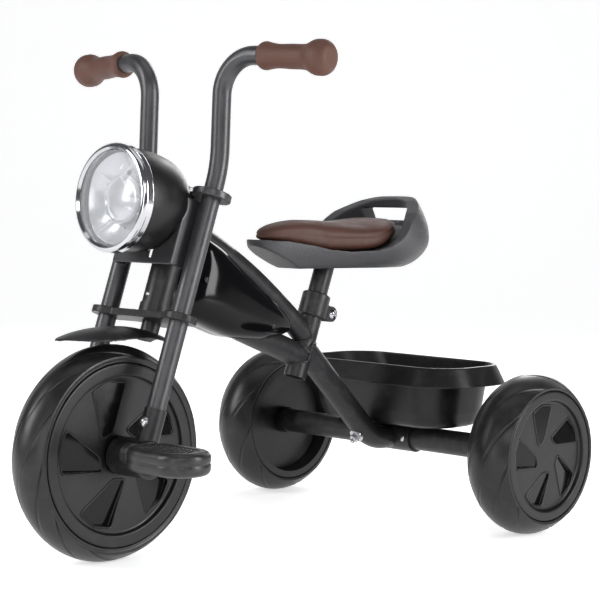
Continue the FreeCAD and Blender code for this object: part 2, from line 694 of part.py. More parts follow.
def build_frame_tubes():
    head_outer = head_rod(HEAD_TUBE_SPAN[0], HEAD_TUBE_SPAN[1], HEAD_TUBE_RADIUS)
    stop_screw = dome_screw(in_head(2.3, 0, 191), in_head(1, 0, 0) - in_head(0, 0, 0), 3.0, 1.6, 1.5, 3.4)
    head_bore = head_rod(HEAD_TUBE_SPAN[0] - 1, HEAD_TUBE_SPAN[1] + 1, HEAD_TUBE_BORE)
    save("frame_head_tube", head_outer.cut([head_bore, stop_screw]))
    save("head_tube_screw", stop_screw.cut(head_bore))
    cups = [head_cup(LOWER_PLATE[1] + FACE_GAP, HEAD_TUBE_SPAN[0], HEAD_TUBE_SPAN[0] + CUP_SPIGOT),
            head_cup(UPPER_PLATE[0] - FACE_GAP, HEAD_TUBE_SPAN[1], HEAD_TUBE_SPAN[1] - CUP_SPIGOT)]
    save_group("head_bearing_cups", cups)

    seat_outer = rod(on_seat_tube(0), on_seat_tube(SEAT_TUBE_LENGTH), SEAT_TUBE_RADIUS)
    seat_bore = rod(on_seat_tube(-1), on_seat_tube(SEAT_TUBE_LENGTH + 1), SEAT_TUBE_BORE)
    save("frame_seat_tube", seat_outer.cut(seat_bore))

    cup_room = head_rod(HEAD_TUBE_SPAN[1], UPPER_PLATE[0], CUP_RADIUS + 0.3)
    bolt = joint_bolt()
    save("frame_joint_bolt", bolt)
    top, down, main = frame_paths()
    top = frame_tube(top, TOP_TUBE_RADIUS, [head_outer, seat_outer, cup_room])
    down = frame_tube(down, DOWN_TUBE_RADIUS, [head_outer, seat_outer])
    main = frame_tube(main, MAIN_TUBE_RADIUS, [seat_outer, axle_sleeve_blank(), bolt])
    save("frame_top_tube", top)
    save("frame_down_tube", down)
    save("frame_main_tube", main)


def frame_tube(path, radius, cutters):
    """A hollow tube mitred against its neighbours, keeping its main run."""
    solid = swept(path, radius).cut([swept(path, radius - TUBE_WALL)] + cutters)
    return max(solid.Solids, key=lambda s: s.Volume)


def frame_paths():
    front, middle, back = vec(REAR_X + 398, 0, 389.5), vec(REAR_X + 290, 0, 330.8), vec(REAR_X + 178, 0, 242)
    top = Part.Wire([arc(front, middle, back)])
    down = Part.Wire([line(vec(REAR_X + 424, 0, 309), vec(REAR_X + 188, 0, 218.7))])
    return top, down, main_tube_path()


def joint_bolt():
    """The bolt through the main tube just above its lower bend."""
    seat = vec(REAR_X + 77.5, 0, 108.0)
    out = vec(sine(48), 0, -cosine(48))
    shank = rod(seat - out * 12, seat + out * 13, 3.0)
    washer = rod(seat + out * 0.0, seat + out * 2.2, 9.5)
    nut = hex_nut(seat + out * 2.2, seat + out * 8.0, 11.0, 0)
    return shank.fuse([washer, nut]).removeSplitter()


def axle_sleeve_blank():
    middle = vec(REAR_X, 0, REAR_RADIUS)
    return rod(middle - Y_AXIS * SLEEVE_HALF, middle + Y_AXIS * SLEEVE_HALF, SLEEVE_RADIUS)


def build_rear_axle():
    middle = vec(REAR_X, 0, REAR_RADIUS)
    sleeve_screws = []
    for y in (-24.0, 27.0):
        seat = middle + vec(SLEEVE_RADIUS - 0.8, y, 0)
        sleeve_screws.append(dome_screw(seat, vec(1, 0, 0), 4.6, 1.8, 2.0, 8.0))
    basket_screws = []
    for y in (-28.0, 28.0):
        seat = vec(REAR_X, y, BASKET_FLOOR + BASKET_WALL)
        basket_screws.append(flush_screw(seat, Z_AXIS, 6.0, 2.2, 12.0))
    screws = sleeve_screws + basket_screws
    tube_outer = rod(middle - Y_AXIS * AXLE_TUBE_HALF, middle + Y_AXIS * AXLE_TUBE_HALF, AXLE_TUBE_RADIUS)
    tube_bore = rod(middle - Y_AXIS * 300, middle + Y_AXIS * 300, AXLE_TUBE_RADIUS - TUBE_WALL)
    sleeve = axle_sleeve_blank().cut(rod(middle - Y_AXIS * 50, middle + Y_AXIS * 50, AXLE_TUBE_RADIUS + 0.02))
    save("axle_sleeve", sleeve.cut(screws))
    save("rear_axle_tube", tube_outer.cut(tube_bore).cut(screws))
    save_group("axle_sleeve_screws", sleeve_screws)
    save_group("basket_screws", basket_screws)
    rod_end = Y_AXIS * AXLE_ROD_HALF
    save("rear_axle_rod", rod(middle - rod_end, middle + rod_end, AXLE_ROD_RADIUS))
    bushes, nuts = [], []
    hub_face = TRACK / 2 - REAR_BOSS_FACE
    for side in (1, -1):
        start = middle + Y_AXIS * side * (AXLE_TUBE_HALF - 18)
        shoulder = middle + Y_AXIS * side * AXLE_TUBE_HALF
        end = middle + Y_AXIS * side * (hub_face - FACE_GAP)
        plug = rod(start, shoulder, AXLE_TUBE_RADIUS - TUBE_WALL - 0.03)
        plug = plug.fuse(rod(shoulder, end, REAR_HUB_BOSS))
        bushes.append(plug.cut(rod(start, end, AXLE_ROD_RADIUS + 0.02)).removeSplitter())
        inner = middle + Y_AXIS * side * (TRACK / 2 + 4.6)
        nuts.append(pipe(inner, inner + Y_AXIS * side * 5, 8.5, AXLE_ROD_RADIUS + 0.02))
    save_group("rear_axle_bushes", bushes)
    save_group("rear_axle_push_nuts", nuts)


# ---------------------------------------------------------------- tank
# Sections from front to back: bottom and top as (distance from the rear axle, height),
# half width and corner radius.
TANK_SECTIONS = [((404, 281), (371, 377), 33.5, 9.0), ((368, 266), (342, 359.5), 35.0, 10.0),
                 ((320, 249), (306, 332), 34.5, 10.0), ((282, 244.5), (276, 309.5), 31.5, 9.5),
                 ((246, 246), (247, 289), 26.5, 9.0), ((219, 252.5), (221, 267), 19.0, 6.0)]


def tank_section(bottom, top, half_width, corner, inset, shift):
    """A rounded rectangle standing across the ride direction between two heights."""
    low = vec(REAR_X + bottom[0] + shift, 0, bottom[1])
    high = vec(REAR_X + top[0] + shift, 0, top[1])
    up = (high - low).normalize()
    low += up * inset
    tall = (high - low).Length - inset
    wide = half_width - inset
    round_off = corner - inset
    near = round_off * (1 - cosine(45))

    def at(side, height):
        return low + up * height + Y_AXIS * side

    edges = [line(at(-wide + round_off, 0), at(wide - round_off, 0)),
             arc(at(wide - round_off, 0), at(wide - near, near), at(wide, round_off)),
             line(at(wide, round_off), at(wide, tall - round_off)),
             arc(at(wide, tall - round_off), at(wide - near, tall - near), at(wide - round_off, tall)),
             line(at(wide - round_off, tall), at(-wide + round_off, tall)),
             arc(at(-wide + round_off, tall), at(-wide + near, tall - near), at(-wide, tall - round_off)),
             line(at(-wide, tall - round_off), at(-wide, round_off)),
             arc(at(-wide, round_off), at(-wide + near, near), at(-wide + round_off, 0))]
    return Part.Wire(edges)


def tank_solid(inset):
    last = len(TANK_SECTIONS) - 1
    wires = []
    for index, section in enumerate(TANK_SECTIONS):
        shift = -inset if index == 0 else inset if index == last else 0
        wires.append(tank_section(*section, inset, shift))
    return Part.makeLoft(wires, True, True)


def build_tank():
    shell = tank_solid(0).cut(tank_solid(TANK_WALL))
    top, down, _ = frame_paths()
    frame = [swept(top, TOP_TUBE_RADIUS + 0.1), swept(down, DOWN_TUBE_RADIUS + 0.1),
             rod(on_seat_tube(0), on_seat_tube(SEAT_TUBE_LENGTH), SEAT_TUBE_RADIUS + 0.1),
             head_rod(150, 310, HEAD_TUBE_RADIUS + 1.0)]
    shell = shell.cut(frame)
    screws = []
    for side in (1, -1):
        for distance, height, half_width in ((378.0, 322.0, 34.0), (262.0, 262.0, 28.8)):
            seat = vec(REAR_X + distance, side * half_width, height)
            screws.append(dome_screw(seat, vec(0, side, 0), 3.6, 1.6, 1.6, 6.0))
    left_half = shell.common(block(vec(-300, 0.1, 150), vec(400, 80, 450)))
    left = max(left_half.Solids, key=lambda s: s.Volume).cut(screws)
    save_pair("tank", left)
    save_group("tank_screws", screws)


# ---------------------------------------------------------------- seat
def build_seat_clamp():
    low, high = SEAT_TUBE_LENGTH - 26, SEAT_TUBE_LENGTH + 5
    outside, bore, narrow = 18.2, SEAT_TUBE_RADIUS + 0.04, SEAT_TUBE_BORE + 0.1
    shoulder = SEAT_TUBE_LENGTH + 0.1
    collar = turned_polygon([(bore, low), (outside - 1.5, low), (outside, low + 1.5), (outside, high - 1.5),
                             (outside - 1.5, high), (narrow, high), (narrow, shoulder), (bore, shoulder)],
                            SEAT_FOOT, SEAT_UP)
    behind = vec(-cosine(SEAT_LEAN), 0, -sine(SEAT_LEAN))
    ear_middle = on_seat_tube(SEAT_TUBE_LENGTH - 13) + behind * 26
    ear = rod(ear_middle - Y_AXIS * 9, ear_middle + Y_AXIS * 9, 10.0)
    lean = FreeCAD.Rotation(Y_AXIS, -SEAT_LEAN)
    middle = on_seat_tube(SEAT_TUBE_LENGTH - 13)
    bridge = placed(block(vec(-26, -9, -9), vec(-15.5, 9, 9)), FreeCAD.Placement(middle, lean))
    bridge = bridge.cut(rod(on_seat_tube(low - 9), on_seat_tube(high + 9), outside - 1.5))
    slit = placed(block(vec(-40, -1, -30), vec(-10, 1, 30)), FreeCAD.Placement(middle, lean))
    collar = collar.fuse([ear, bridge])
    bolt_middle = ear_middle + behind * 1.0
    bolt = dome_screw(bolt_middle + Y_AXIS * 9, Y_AXIS, 6.6, 5.0, 2.6, 20.0)
    socket = rod(bolt_middle + Y_AXIS * 11.2, bolt_middle + Y_AXIS * 15, 2.3)
    nut = hex_nut(bolt_middle - Y_AXIS * 9, bolt_middle - Y_AXIS * 13.5, 10.0, 2.62)
    nut_land = rod(bolt_middle - Y_AXIS * 9, bolt_middle - Y_AXIS * 13.5, 2.6)
    bolt = bolt.cut(socket).fuse(nut_land).removeSplitter()
    save("seat_clamp", collar.cut([slit, bolt]))
    save_group("seat_clamp_bolt", [bolt, nut])


def seat_outline(points, z):
    """A closed smooth outline, mirrored about the ride direction, from (distance, half width)."""
    ring = [vec(REAR_X + d, w, z) for d, w in points]
    ring += [vec(REAR_X + d, -w, z) for d, w in reversed(points) if w > 0.01]
    curve = Part.BSplineCurve()
    curve.interpolate(ring, True)
    return Part.Wire(curve.toShape())


# Plans are (distance ahead of the rear axle, half width); profiles are (distance, height);
# sections are (rise above the seat's base, how far the outline draws in).
SHELL_PLAN = [(273, 0), (262, 20), (225, 33), (165, 50), (125, 66), (95, 77),
              (65, 82), (35, 77), (12, 63), (-8, 40), (-19, 0)]
WELL_PLAN = [(185, 0), (165, 36), (125, 59), (95, 67), (65, 66), (38, 57), (16, 42), (5, 24), (0, 0)]
CUSHION_PLAN = [(265, 0), (256, 13), (233, 24), (200, 31), (165, 41),
                (130, 52), (98, 59), (72, 54), (46, 36), (29, 0)]
RIM_PROFILE = [(300, 368), (276, 367.3), (236, 365.5), (200, 360), (178, 355), (150, 352),
               (115, 353), (99, 357.5), (85, 366), (74, 377), (64, 390), (50, 401),
               (35, 408.6), (22, 416), (9, 421), (-10, 423), (-40, 424)]
PAN_PROFILE = [(300, 364), (276, 363.5), (236, 361.3), (200, 356), (178, 351.5), (160, 350), (112, 350),
               (95, 353.5), (75, 361), (50, 370.5), (30, 377.5), (10, 383), (-5, 386), (-40, 387)]
NOSE_PROFILE = [(300, 372), (272, 359.5), (209, 329.9)]
BACK_HOLLOW_PROFILE = [(76, 346.9), (50, 366.5), (30, 373.5), (10, 379), (-2, 381)]
CUSHION_LOW = [(270, 366), (236, 362.5), (200, 357.2), (178, 352.7), (160, 351), (112, 351),
               (95, 354.6), (75, 362), (50, 371.5), (30, 378.5), (15, 383)]
CUSHION_HIGH = [(15, 385), (20, 389), (30, 392), (42, 393.5), (70, 391.5), (100, 388.5), (130, 387),
                (173, 389), (202, 390), (230, 387.5), (251, 381), (263, 375), (270, 370)]
SHELL_SECTIONS = [(0, 31), (4, 22), (9, 15), (13, 11), (17, 7.5), (22, 4.2), (27, 1.8), (32, 0.6), (38, 0),
                  (50, 1), (58, 2.8), (66, 5.5), (74, 8.8), (82, 12.5), (90, 17), (96, 21)]
CUSHION_SECTIONS = [(19, 3), (27, 0.6), (35, 0), (45, 0.8), (54, 3), (62, 7), (69, 12), (75, 18)]
HOLLOW_SECTIONS = [(-0.1, 40), (8, 26), (17, 15)]
HOLLOW_FRONT = 182.0
FRONT_RIM = 5.75
BACK_RIM = 11.5
WELL_SPLIT = 120.0
GRAB_WINDOW = (42.0, 389.5, 406.0)
SEAT_SCREW_SPACING = (20.0, 14.0)
SEAT_PLATE = (28.0, 20.0, 3.0)


def shrunk(points, amount):
    """Draw an outline in towards its own long axis and ends."""
    longest = max(w for _, w in points)
    front, back = points[0][0], points[-1][0]
    middle, half = (front + back) / 2, (front - back) / 2
    along, across = (half - amount) / half, (longest - amount) / longest
    return [(middle + (d - middle) * along, w * across) for d, w in points]


def beside(profile, closing, half_width):
    """A block across the seat under a side profile, closed along the given points."""
    corners = [vec(REAR_X + d, -half_width, z) for d, z in profile + closing]
    return Part.Face(polygon(corners)).extrude(vec(0, 2 * half_width, 0))


def seat_loft(plan, sections, amount=0.0):
    """An outline drawn in at each height, and all round by an amount."""
    return Part.makeLoft([seat_outline(shrunk(plan, inset + amount), SEAT_BASE + rise)
                          for rise, inset in sections], True, True)


def behind(distance):
    """Everything behind a distance ahead of the rear axle."""
    return block(vec(REAR_X - 100, -100, 300), vec(REAR_X + distance, 100, 450))


def seat_hollow():
    """The open underside: a shallow recess, deeper under the raised back."""
    recess = seat_loft(SHELL_PLAN, HOLLOW_SECTIONS).common(behind(HOLLOW_FRONT))
    closing = [(BACK_HOLLOW_PROFILE[-1][0], BACK_HOLLOW_PROFILE[0][1])]
    deep = beside(BACK_HOLLOW_PROFILE, closing, 60)
    return [recess, deep.common(seat_loft(SHELL_PLAN, SHELL_SECTIONS, BACK_RIM))]


def seat_screws():
    along, across = SEAT_SCREW_SPACING
    heads = [plate_centre() + vec(x, y, 0) for x in (-along, along) for y in (-across, across)]
    return [dome_screw(head, -Z_AXIS, 3.8, 2.0, 1.8, 5.6) for head in heads]


def seat_shell():
    """The moulded shell: a rim round a well for the cushion, rising to a grab handle behind."""
    below_rim = beside(RIM_PROFILE, [(-40, 320), (300, 320)], 100)
    solid = seat_loft(SHELL_PLAN, SHELL_SECTIONS).common(below_rim)
    above_pan = beside(PAN_PROFILE, [(-40, 430), (300, 430)], 100)
    front_well = seat_loft(SHELL_PLAN, SHELL_SECTIONS, FRONT_RIM).common(above_pan)
    front_well = front_well.cut(behind(WELL_SPLIT))
    back_well = seat_loft(WELL_PLAN, SHELL_SECTIONS).common(above_pan).common(behind(WELL_SPLIT + 0.1))
    half, low, high = GRAB_WINDOW
    window = block(vec(REAR_X - 60, -half, low), vec(REAR_X + 30, half, high))
    under_nose = beside(NOSE_PROFILE, [(209, 320), (300, 320)], 100)
    return solid.cut([front_well, back_well, window, under_nose] + seat_hollow())


def build_seat():
    screws = seat_screws()
    shell = seat_shell().cut(screws)
    save("seat_shell", max(shell.Solids, key=lambda s: s.Volume))
    post_foot = on_seat_tube(SEAT_POST_FOOT)
    post = pipe(post_foot, plate_centre() + SEAT_UP * 10, SEAT_POST_RADIUS, SEAT_POST_RADIUS - TUBE_WALL)
    save("seat_post", post.common(block(vec(-400, -50, 0), vec(400, 50, plate_centre().z))))
    save("seat_mount_plate", seat_plate().cut(screws))
    save_group("seat_mount_screws", screws)
    build_cushion()


def plate_centre():
    """Where the seat post's axis meets the underside of its mounting plate."""
    return on_seat_tube((SEAT_BASE + 13.9 - SEAT_FOOT.z) / cosine(SEAT_LEAN))


def seat_plate():
    centre = plate_centre()
    half_x, half_y, thick = SEAT_PLATE
    return block(centre - vec(half_x, half_y, 0), centre + vec(half_x, half_y, thick))


def build_cushion():
    slab = beside(CUSHION_LOW, CUSHION_HIGH, 100)
    save("seat_cushion", seat_loft(CUSHION_PLAN, CUSHION_SECTIONS).common(slab))


# ---------------------------------------------------------------- basket
def build_basket():
    rim_z, rim_x, rim_y, rim_c = BASKET_RIM
    skirt_z, skirt_x, skirt_y, skirt_c = BASKET_SKIRT

    def tub(inset, floor):
        """Body sections: height, half length, half width and corner."""
        sections = [(floor + rise, x, y, c) for rise, x, y, c in BASKET_FOOT]
        sections += [(skirt_z, 66.0, 121.0, 50.0), (rim_z, rim_x, rim_y, rim_c)]
        return Part.makeLoft([rounded_rectangle(BASKET_CENTRE, x - inset, y - inset, c - inset / 2, z)
                              for z, x, y, c in sections], True, True)

    outer = tub(0, BASKET_FLOOR)
    inner = tub(BASKET_WALL, BASKET_FLOOR + BASKET_WALL)
    top = rim_z + 1.0
    mouth = Part.Face(rounded_rectangle(BASKET_CENTRE, rim_x - BASKET_WALL, rim_y - BASKET_WALL,
                                        rim_c - 1.4, rim_z - 0.2)).extrude(vec(0, 0, 5))
    skirt = Part.makeLoft([rounded_rectangle(BASKET_CENTRE, skirt_x, skirt_y, skirt_c, skirt_z),
                           rounded_rectangle(BASKET_CENTRE, rim_x + 2, rim_y + 2, rim_c + 2, top)], True)
    low_edge = rounded_rectangle(BASKET_CENTRE, skirt_x - BASKET_WALL, skirt_y - BASKET_WALL,
                                 skirt_c - 2, skirt_z - 0.1)
    high_edge = rounded_rectangle(BASKET_CENTRE, rim_x - 1.5, rim_y - 1.5, rim_c - 1, top - 2.5)
    under = Part.makeLoft([low_edge, high_edge], True)
    basket = skirt.cut(under).fuse(outer).cut([inner, mouth])
    holes = []
    for y in (-28.0, 28.0):
        floor = BASKET_FLOOR + BASKET_WALL
        holes.append(rod(vec(REAR_X, y, BASKET_FLOOR - 1), vec(REAR_X, y, floor + 1), 2.25))
        holes.append(rod(vec(REAR_X, y, floor - FLUSH_HEAD), vec(REAR_X, y, floor + 1), 6.05))
    save("basket", basket.cut(holes).removeSplitter())


def main():
    os.makedirs("parts", exist_ok=True)
    build_front_wheel()
    build_rear_wheels()
    build_cranks()
    build_fork()
    build_fender()
    build_lamp()
    build_lamp_bracket()
    build_frame_tubes()
    build_rear_axle()
    build_tank()
    build_seat_clamp()
    build_seat()
    build_basket()


main()
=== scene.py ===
import bpy
import bmesh
import json
import math
from mathutils import Matrix, Vector


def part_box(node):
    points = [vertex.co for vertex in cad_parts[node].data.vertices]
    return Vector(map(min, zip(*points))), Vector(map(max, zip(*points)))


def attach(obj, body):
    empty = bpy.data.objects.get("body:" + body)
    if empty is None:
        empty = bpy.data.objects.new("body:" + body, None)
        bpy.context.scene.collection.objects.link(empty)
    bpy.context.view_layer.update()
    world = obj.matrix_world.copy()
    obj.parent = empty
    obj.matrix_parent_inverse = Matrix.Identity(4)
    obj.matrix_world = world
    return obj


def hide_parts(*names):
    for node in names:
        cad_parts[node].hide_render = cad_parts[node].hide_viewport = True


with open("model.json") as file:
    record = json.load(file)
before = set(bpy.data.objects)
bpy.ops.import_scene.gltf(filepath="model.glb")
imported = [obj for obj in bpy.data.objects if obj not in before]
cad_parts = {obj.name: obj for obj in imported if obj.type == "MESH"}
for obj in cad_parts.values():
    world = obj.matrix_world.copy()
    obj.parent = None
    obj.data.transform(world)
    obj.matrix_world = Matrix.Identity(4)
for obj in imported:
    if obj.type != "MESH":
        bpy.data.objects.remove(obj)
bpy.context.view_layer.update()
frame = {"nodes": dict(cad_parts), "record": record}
nodes = frame["nodes"]
MM = 0.001


# ------------------------------------------------------------------ materials
class Graph:
    """Short hand for building one material's node tree."""

    def __init__(self, name):
        self.material = bpy.data.materials.new(name)
        self.material.use_nodes = True
        self.tree = self.material.node_tree
        self.shader = self.tree.nodes["Principled BSDF"]
        self.coords = self.node("ShaderNodeTexCoord").outputs["Object"]

    def node(self, kind, **settings):
        made = self.tree.nodes.new(kind)
        for key, value in settings.items():
            setattr(made, key, value)
        return made

    def link(self, source, target):
        self.tree.links.new(source, target)

    def noise(self, scale, detail=3.0, roughness=0.55, stretch=None):
        made = self.node("ShaderNodeTexNoise")
        made.inputs["Scale"].default_value = scale
        made.inputs["Detail"].default_value = detail
        made.inputs["Roughness"].default_value = roughness
        if stretch is None:
            self.link(self.coords, made.inputs["Vector"])
        else:
            mapping = self.node("ShaderNodeMapping")
            mapping.inputs["Scale"].default_value = stretch
            self.link(self.coords, mapping.inputs["Vector"])
            self.link(mapping.outputs[0], made.inputs["Vector"])
        return made.outputs["Fac"]

    def cells(self, scale):
        made = self.node("ShaderNodeTexVoronoi", feature="DISTANCE_TO_EDGE")
        made.inputs["Scale"].default_value = scale
        self.link(self.coords, made.inputs["Vector"])
        return made.outputs["Distance"]

    def math(self, operation, *values):
        made = self.node("ShaderNodeMath", operation=operation)
        for slot, value in zip(made.inputs, values):
            if isinstance(value, (int, float)):
                slot.default_value = value
            else:
                self.link(value, slot)
        return made.outputs[0]

    def span(self, value, low, high, from_low=0.0, from_high=1.0):
        made = self.node("ShaderNodeMapRange")
        self.link(value, made.inputs["Value"])
        made.inputs["From Min"].default_value = from_low
        made.inputs["From Max"].default_value = from_high
        made.inputs["To Min"].default_value = low
        made.inputs["To Max"].default_value = high
        return made.outputs[0]

    def mix(self, factor, first, second):
        made = self.node("ShaderNodeMix", data_type="RGBA")
        for slot, value in ((made.inputs[0], factor), (made.inputs[6], first), (made.inputs[7], second)):
            if isinstance(value, (tuple, list)):
                slot.default_value = (*value[:3], 1.0)
            elif isinstance(value, (int, float)):
                slot.default_value = value
            else:
                self.link(value, slot)
        return made.outputs[2]

    def bump(self, height, strength, distance, under=None):
        made = self.node("ShaderNodeBump")
        made.inputs["Strength"].default_value = strength
        made.inputs["Distance"].default_value = distance
        self.link(height, made.inputs["Height"])
        if under is not None:
            self.link(under, made.inputs["Normal"])
        return made.outputs[0]

    def edges(self, radius, sharpness=9.0):
        """1 on convex and concave edges within a radius, 0 on open faces."""
        bevel = self.node("ShaderNodeBevel", samples=4)
        bevel.inputs["Radius"].default_value = radius
        flat = self.node("ShaderNodeNewGeometry").outputs["Normal"]
        dot = self.node("ShaderNodeVectorMath", operation="DOT_PRODUCT")
        self.link(bevel.outputs[0], dot.inputs[0])
        self.link(flat, dot.inputs[1])
        bend = self.math("SUBTRACT", 1.0, dot.outputs["Value"])
        return self.math("MINIMUM", self.math("MULTIPLY", bend, sharpness), 1.0)

    def set(self, **values):
        for key, value in values.items():
            slot = self.shader.inputs[key.replace("_", " ")]
            if isinstance(value, (int, float)):
                slot.default_value = value
            elif isinstance(value, (tuple, list)):
                slot.default_value = (*value[:3], 1.0)
            else:
                self.link(value, slot)


def tone(colour, factor):
    return tuple(min(1.0, c * factor) for c in colour)


PLAIN_GRAIN = (900.0, 0.05, 0.0001)
DUST_COLOUR = (0.33, 0.32, 0.30)
RIPPLE_DEPTH = 0.0012


def finish_material(name, colour, rough, metallic=0.0, mottle=(22.0, 0.12), grain=PLAIN_GRAIN, dust=0.12,
                    wear=None, specular=0.5, rough_range=0.06, painted_shade_reach=None):
    """A manufactured surface: drifting colour, fine grain, uneven gloss, faint dust, worn edges and, where
    asked, painted shade darkening its cavities.

    mottle is (scale, strength); grain is (scale, strength, depth) and maybe (scale, strength) of a
    coarser ripple; wear is (colour, edge radius, strength); the last argument is how far the
    ambient-occlusion test reaches that paints shade into cavities as a darker colour.
    """
    g = Graph(name)
    drift = g.noise(mottle[0], 4.0)
    base = g.mix(drift, tone(colour, 1 - mottle[1]), tone(colour, 1 + mottle[1]))
    smudge = g.noise(mottle[0] * 3.3, 6.0, 0.7)
    if dust:
        haze = g.span(smudge, 0.0, dust, 0.5, 0.9)
        base = g.mix(haze, base, DUST_COLOUR)
    if wear:
        mask = g.math("MULTIPLY", g.edges(wear[1]), g.span(g.noise(160.0, 5.0, 0.7), 0.0, wear[2], 0.42, 0.7))
        base = g.mix(mask, base, wear[0])
    gloss = g.span(smudge, rough - rough_range, rough + rough_range, 0.3, 0.7)
    # Painted shade: where ambient occlusion finds a cavity, the base colour is darkened towards 15 percent of
    # itself, standing in for the shade that falls there.
    if painted_shade_reach:
        shade_occlusion = g.node("ShaderNodeAmbientOcclusion", samples=8)
        shade_occlusion.inputs["Distance"].default_value = painted_shade_reach
        painted_shade_mask = g.span(shade_occlusion.outputs["AO"], 1.0, 0.0, 0.45, 0.95)
        base = g.mix(painted_shade_mask, base, tone(colour, 0.15))
    normal = g.bump(g.noise(grain[0], 2.0, 0.5), grain[1], grain[2])
    if len(grain) > 3:
        normal = g.bump(g.noise(grain[3], 2.0), grain[4], RIPPLE_DEPTH, normal)
    g.set(Base_Color=base, Roughness=gloss, Metallic=metallic, Normal=normal)
    g.shader.inputs["Specular IOR Level"].default_value = specular
    return g.material


def leather(name, colour):
    """Artificial leather: pebbled cells with painted shade in the creases between them, fine pores, soft
    drift, and lighter patches painted in as the sheen of polished high spots.
    """
    g = Graph(name)
    warp = g.noise(60.0, 3.0)
    pebble = g.cells(520.0)
    crease = g.span(pebble, 0.0, 1.0, 0.0, 0.10)
    pores = g.noise(2400.0, 2.0)
    drift = g.noise(18.0, 3.0)
    base = g.mix(drift, tone(colour, 0.86), tone(colour, 1.14))
    # Painted shade: the creases between the pebbles are darkened.
    base = g.mix(g.span(crease, 0.35, 0.0), base, tone(colour, 0.62))
    # Painted sheen: random patches are lightened to stand in for the shine of polished high spots.
    base = g.mix(g.span(warp, 0.0, 0.16, 0.5, 0.8), base, tone(colour, 1.6))
    normal = g.bump(crease, 0.28, 0.0003)
    normal = g.bump(pores, 0.12, 0.0001, normal)
    g.set(Base_Color=base, Roughness=g.span(warp, 0.50, 0.64, 0.3, 0.7), Normal=normal)
    return g.material


def clear_plastic(name, tint, rough, alpha):
    """See-through moulded plastic with a polished face."""
    g = Graph(name)
    spots = g.noise(240.0, 3.0)
    g.set(Base_Color=g.mix(spots, tone(tint, 0.97), tint), Roughness=g.span(spots, rough, rough + 0.05),
          Alpha=alpha, Normal=g.bump(spots, 0.08, 0.0003))
    g.shader.inputs["IOR"].default_value = 1.49
    g.shader.inputs["Coat Weight"].default_value = 0.6
    return g.material


def bright_metal(name, colour, rough, brush=(1.0, 1.0, 1.0), scuff=0.25):
    """Plated or polished metal, with fine lines and duller patches."""
    g = Graph(name)
    lines = g.noise(300.0, 4.0, 0.6, brush)
    patches = g.noise(70.0, 4.0, 0.6)
    base = g.mix(g.span(patches, 0.0, scuff, 0.45, 0.8), colour, tone(colour, 0.6))
    g.set(Base_Color=base, Metallic=1.0, Roughness=g.span(lines, rough * 0.7, rough * 1.4),
          Normal=g.bump(lines, 0.06, 0.0001))
    return g.material


SMOOTH_EDGE_DEGREES = 32
materials = {
    "graphite_metallic_paint": finish_material("graphite_paint", (0.017, 0.017, 0.0185), 0.40, metallic=0.25,
                                               grain=(1500.0, 0.10, 0.0001, 120.0, 0.03), specular=0.4,
                                               wear=((0.14, 0.14, 0.15), 0.0009, 0.5)),
    "silver_metallic_paint": finish_material("fork_paint", (0.066, 0.066, 0.070), 0.38, metallic=0.6,
                                             grain=(1600.0, 0.12, 0.0001, 110.0, 0.03),
                                             wear=((0.22, 0.22, 0.23), 0.0009, 0.55)),
    "tyre_foam": finish_material("tyre_foam", (0.0065, 0.0065, 0.007), 0.36, mottle=(14.0, 0.25),
                                 grain=(1100.0, 0.16, 0.00015, 260.0, 0.06), dust=0.06, specular=0.42),
    # Painted shade: the wheel's pockets and recesses are darkened in colour by the ambient-occlusion test.
    "wheel_plastic": finish_material("wheel_plastic", (0.008, 0.008, 0.0086), 0.34, painted_shade_reach=0.010,
                                     specular=0.36, grain=(1300.0, 0.12, 0.0001, 180.0, 0.04), dust=0.05,
                                     wear=((0.06, 0.06, 0.065), 0.0008, 0.5)),
    # Pocket floors: a glossy finish of their own, and a colour darker than the wheel's that is painted shade
    # in the recesses.
    "wheel_gloss_painted_shade": finish_material("wheel_gloss_painted_shade", (0.004, 0.004, 0.0044), 0.13, specular=0.22, dust=0.02,
                                   rough_range=0.03, grain=(500.0, 0.03, 0.0002)),
    "tank_plastic": finish_material("tank_plastic", (0.0025, 0.0025, 0.003), 0.10, dust=0.0, specular=0.16,
                                    rough_range=0.02, grain=(700.0, 0.02, 0.0001)),
    "seat_plastic": finish_material("seat_plastic", (0.046, 0.046, 0.050), 0.46, specular=0.5,
                                    grain=(520.0, 0.9, 0.0006, 260.0, 0.10), dust=0.06),
    "seat_leather": leather("seat_leather", (0.062, 0.020, 0.011)),
    "grip_rubber": leather("grip_rubber", (0.090, 0.034, 0.021)),
    "pedal_plastic": finish_material("pedal_plastic", (0.010, 0.010, 0.011), 0.38, specular=0.5,
                                     grain=(1500.0, 0.16, 0.0001), dust=0.10,
                                     wear=((0.08, 0.08, 0.08), 0.0008, 0.6)),
    "basket_plastic": finish_material("basket_plastic", (0.006, 0.006, 0.0065), 0.38, specular=0.32,
                                      grain=(1700.0, 0.20, 0.00015, 300.0, 0.05), dust=0.05,
                                      wear=((0.07, 0.07, 0.072), 0.0012, 0.5)),
    "zinc_steel": bright_metal("zinc_steel", (0.55, 0.55, 0.57), 0.28, (1.0, 8.0, 1.0)),
    "chrome": bright_metal("chrome", (0.52, 0.52, 0.54), 0.12, scuff=0.15),
    "reflector": finish_material("reflector", (0.47, 0.48, 0.51), 0.22, metallic=0.50, dust=0.0,
                                 mottle=(30.0, 0.05), grain=(400.0, 0.05, 0.0002), specular=0.6),
    "clear_lens": clear_plastic("clear_lens", (0.95, 0.96, 0.98), 0.03, 0.14),
    "bush_plastic": finish_material("bush_plastic", (0.010, 0.010, 0.010), 0.38, specular=0.4),
    "lamp_bucket_plastic": finish_material("lamp_bucket_plastic", (0.005, 0.005, 0.0055), 0.38, specular=0.34,
                                           grain=(1700.0, 0.14, 0.0001, 260.0, 0.04), dust=0.04),
}
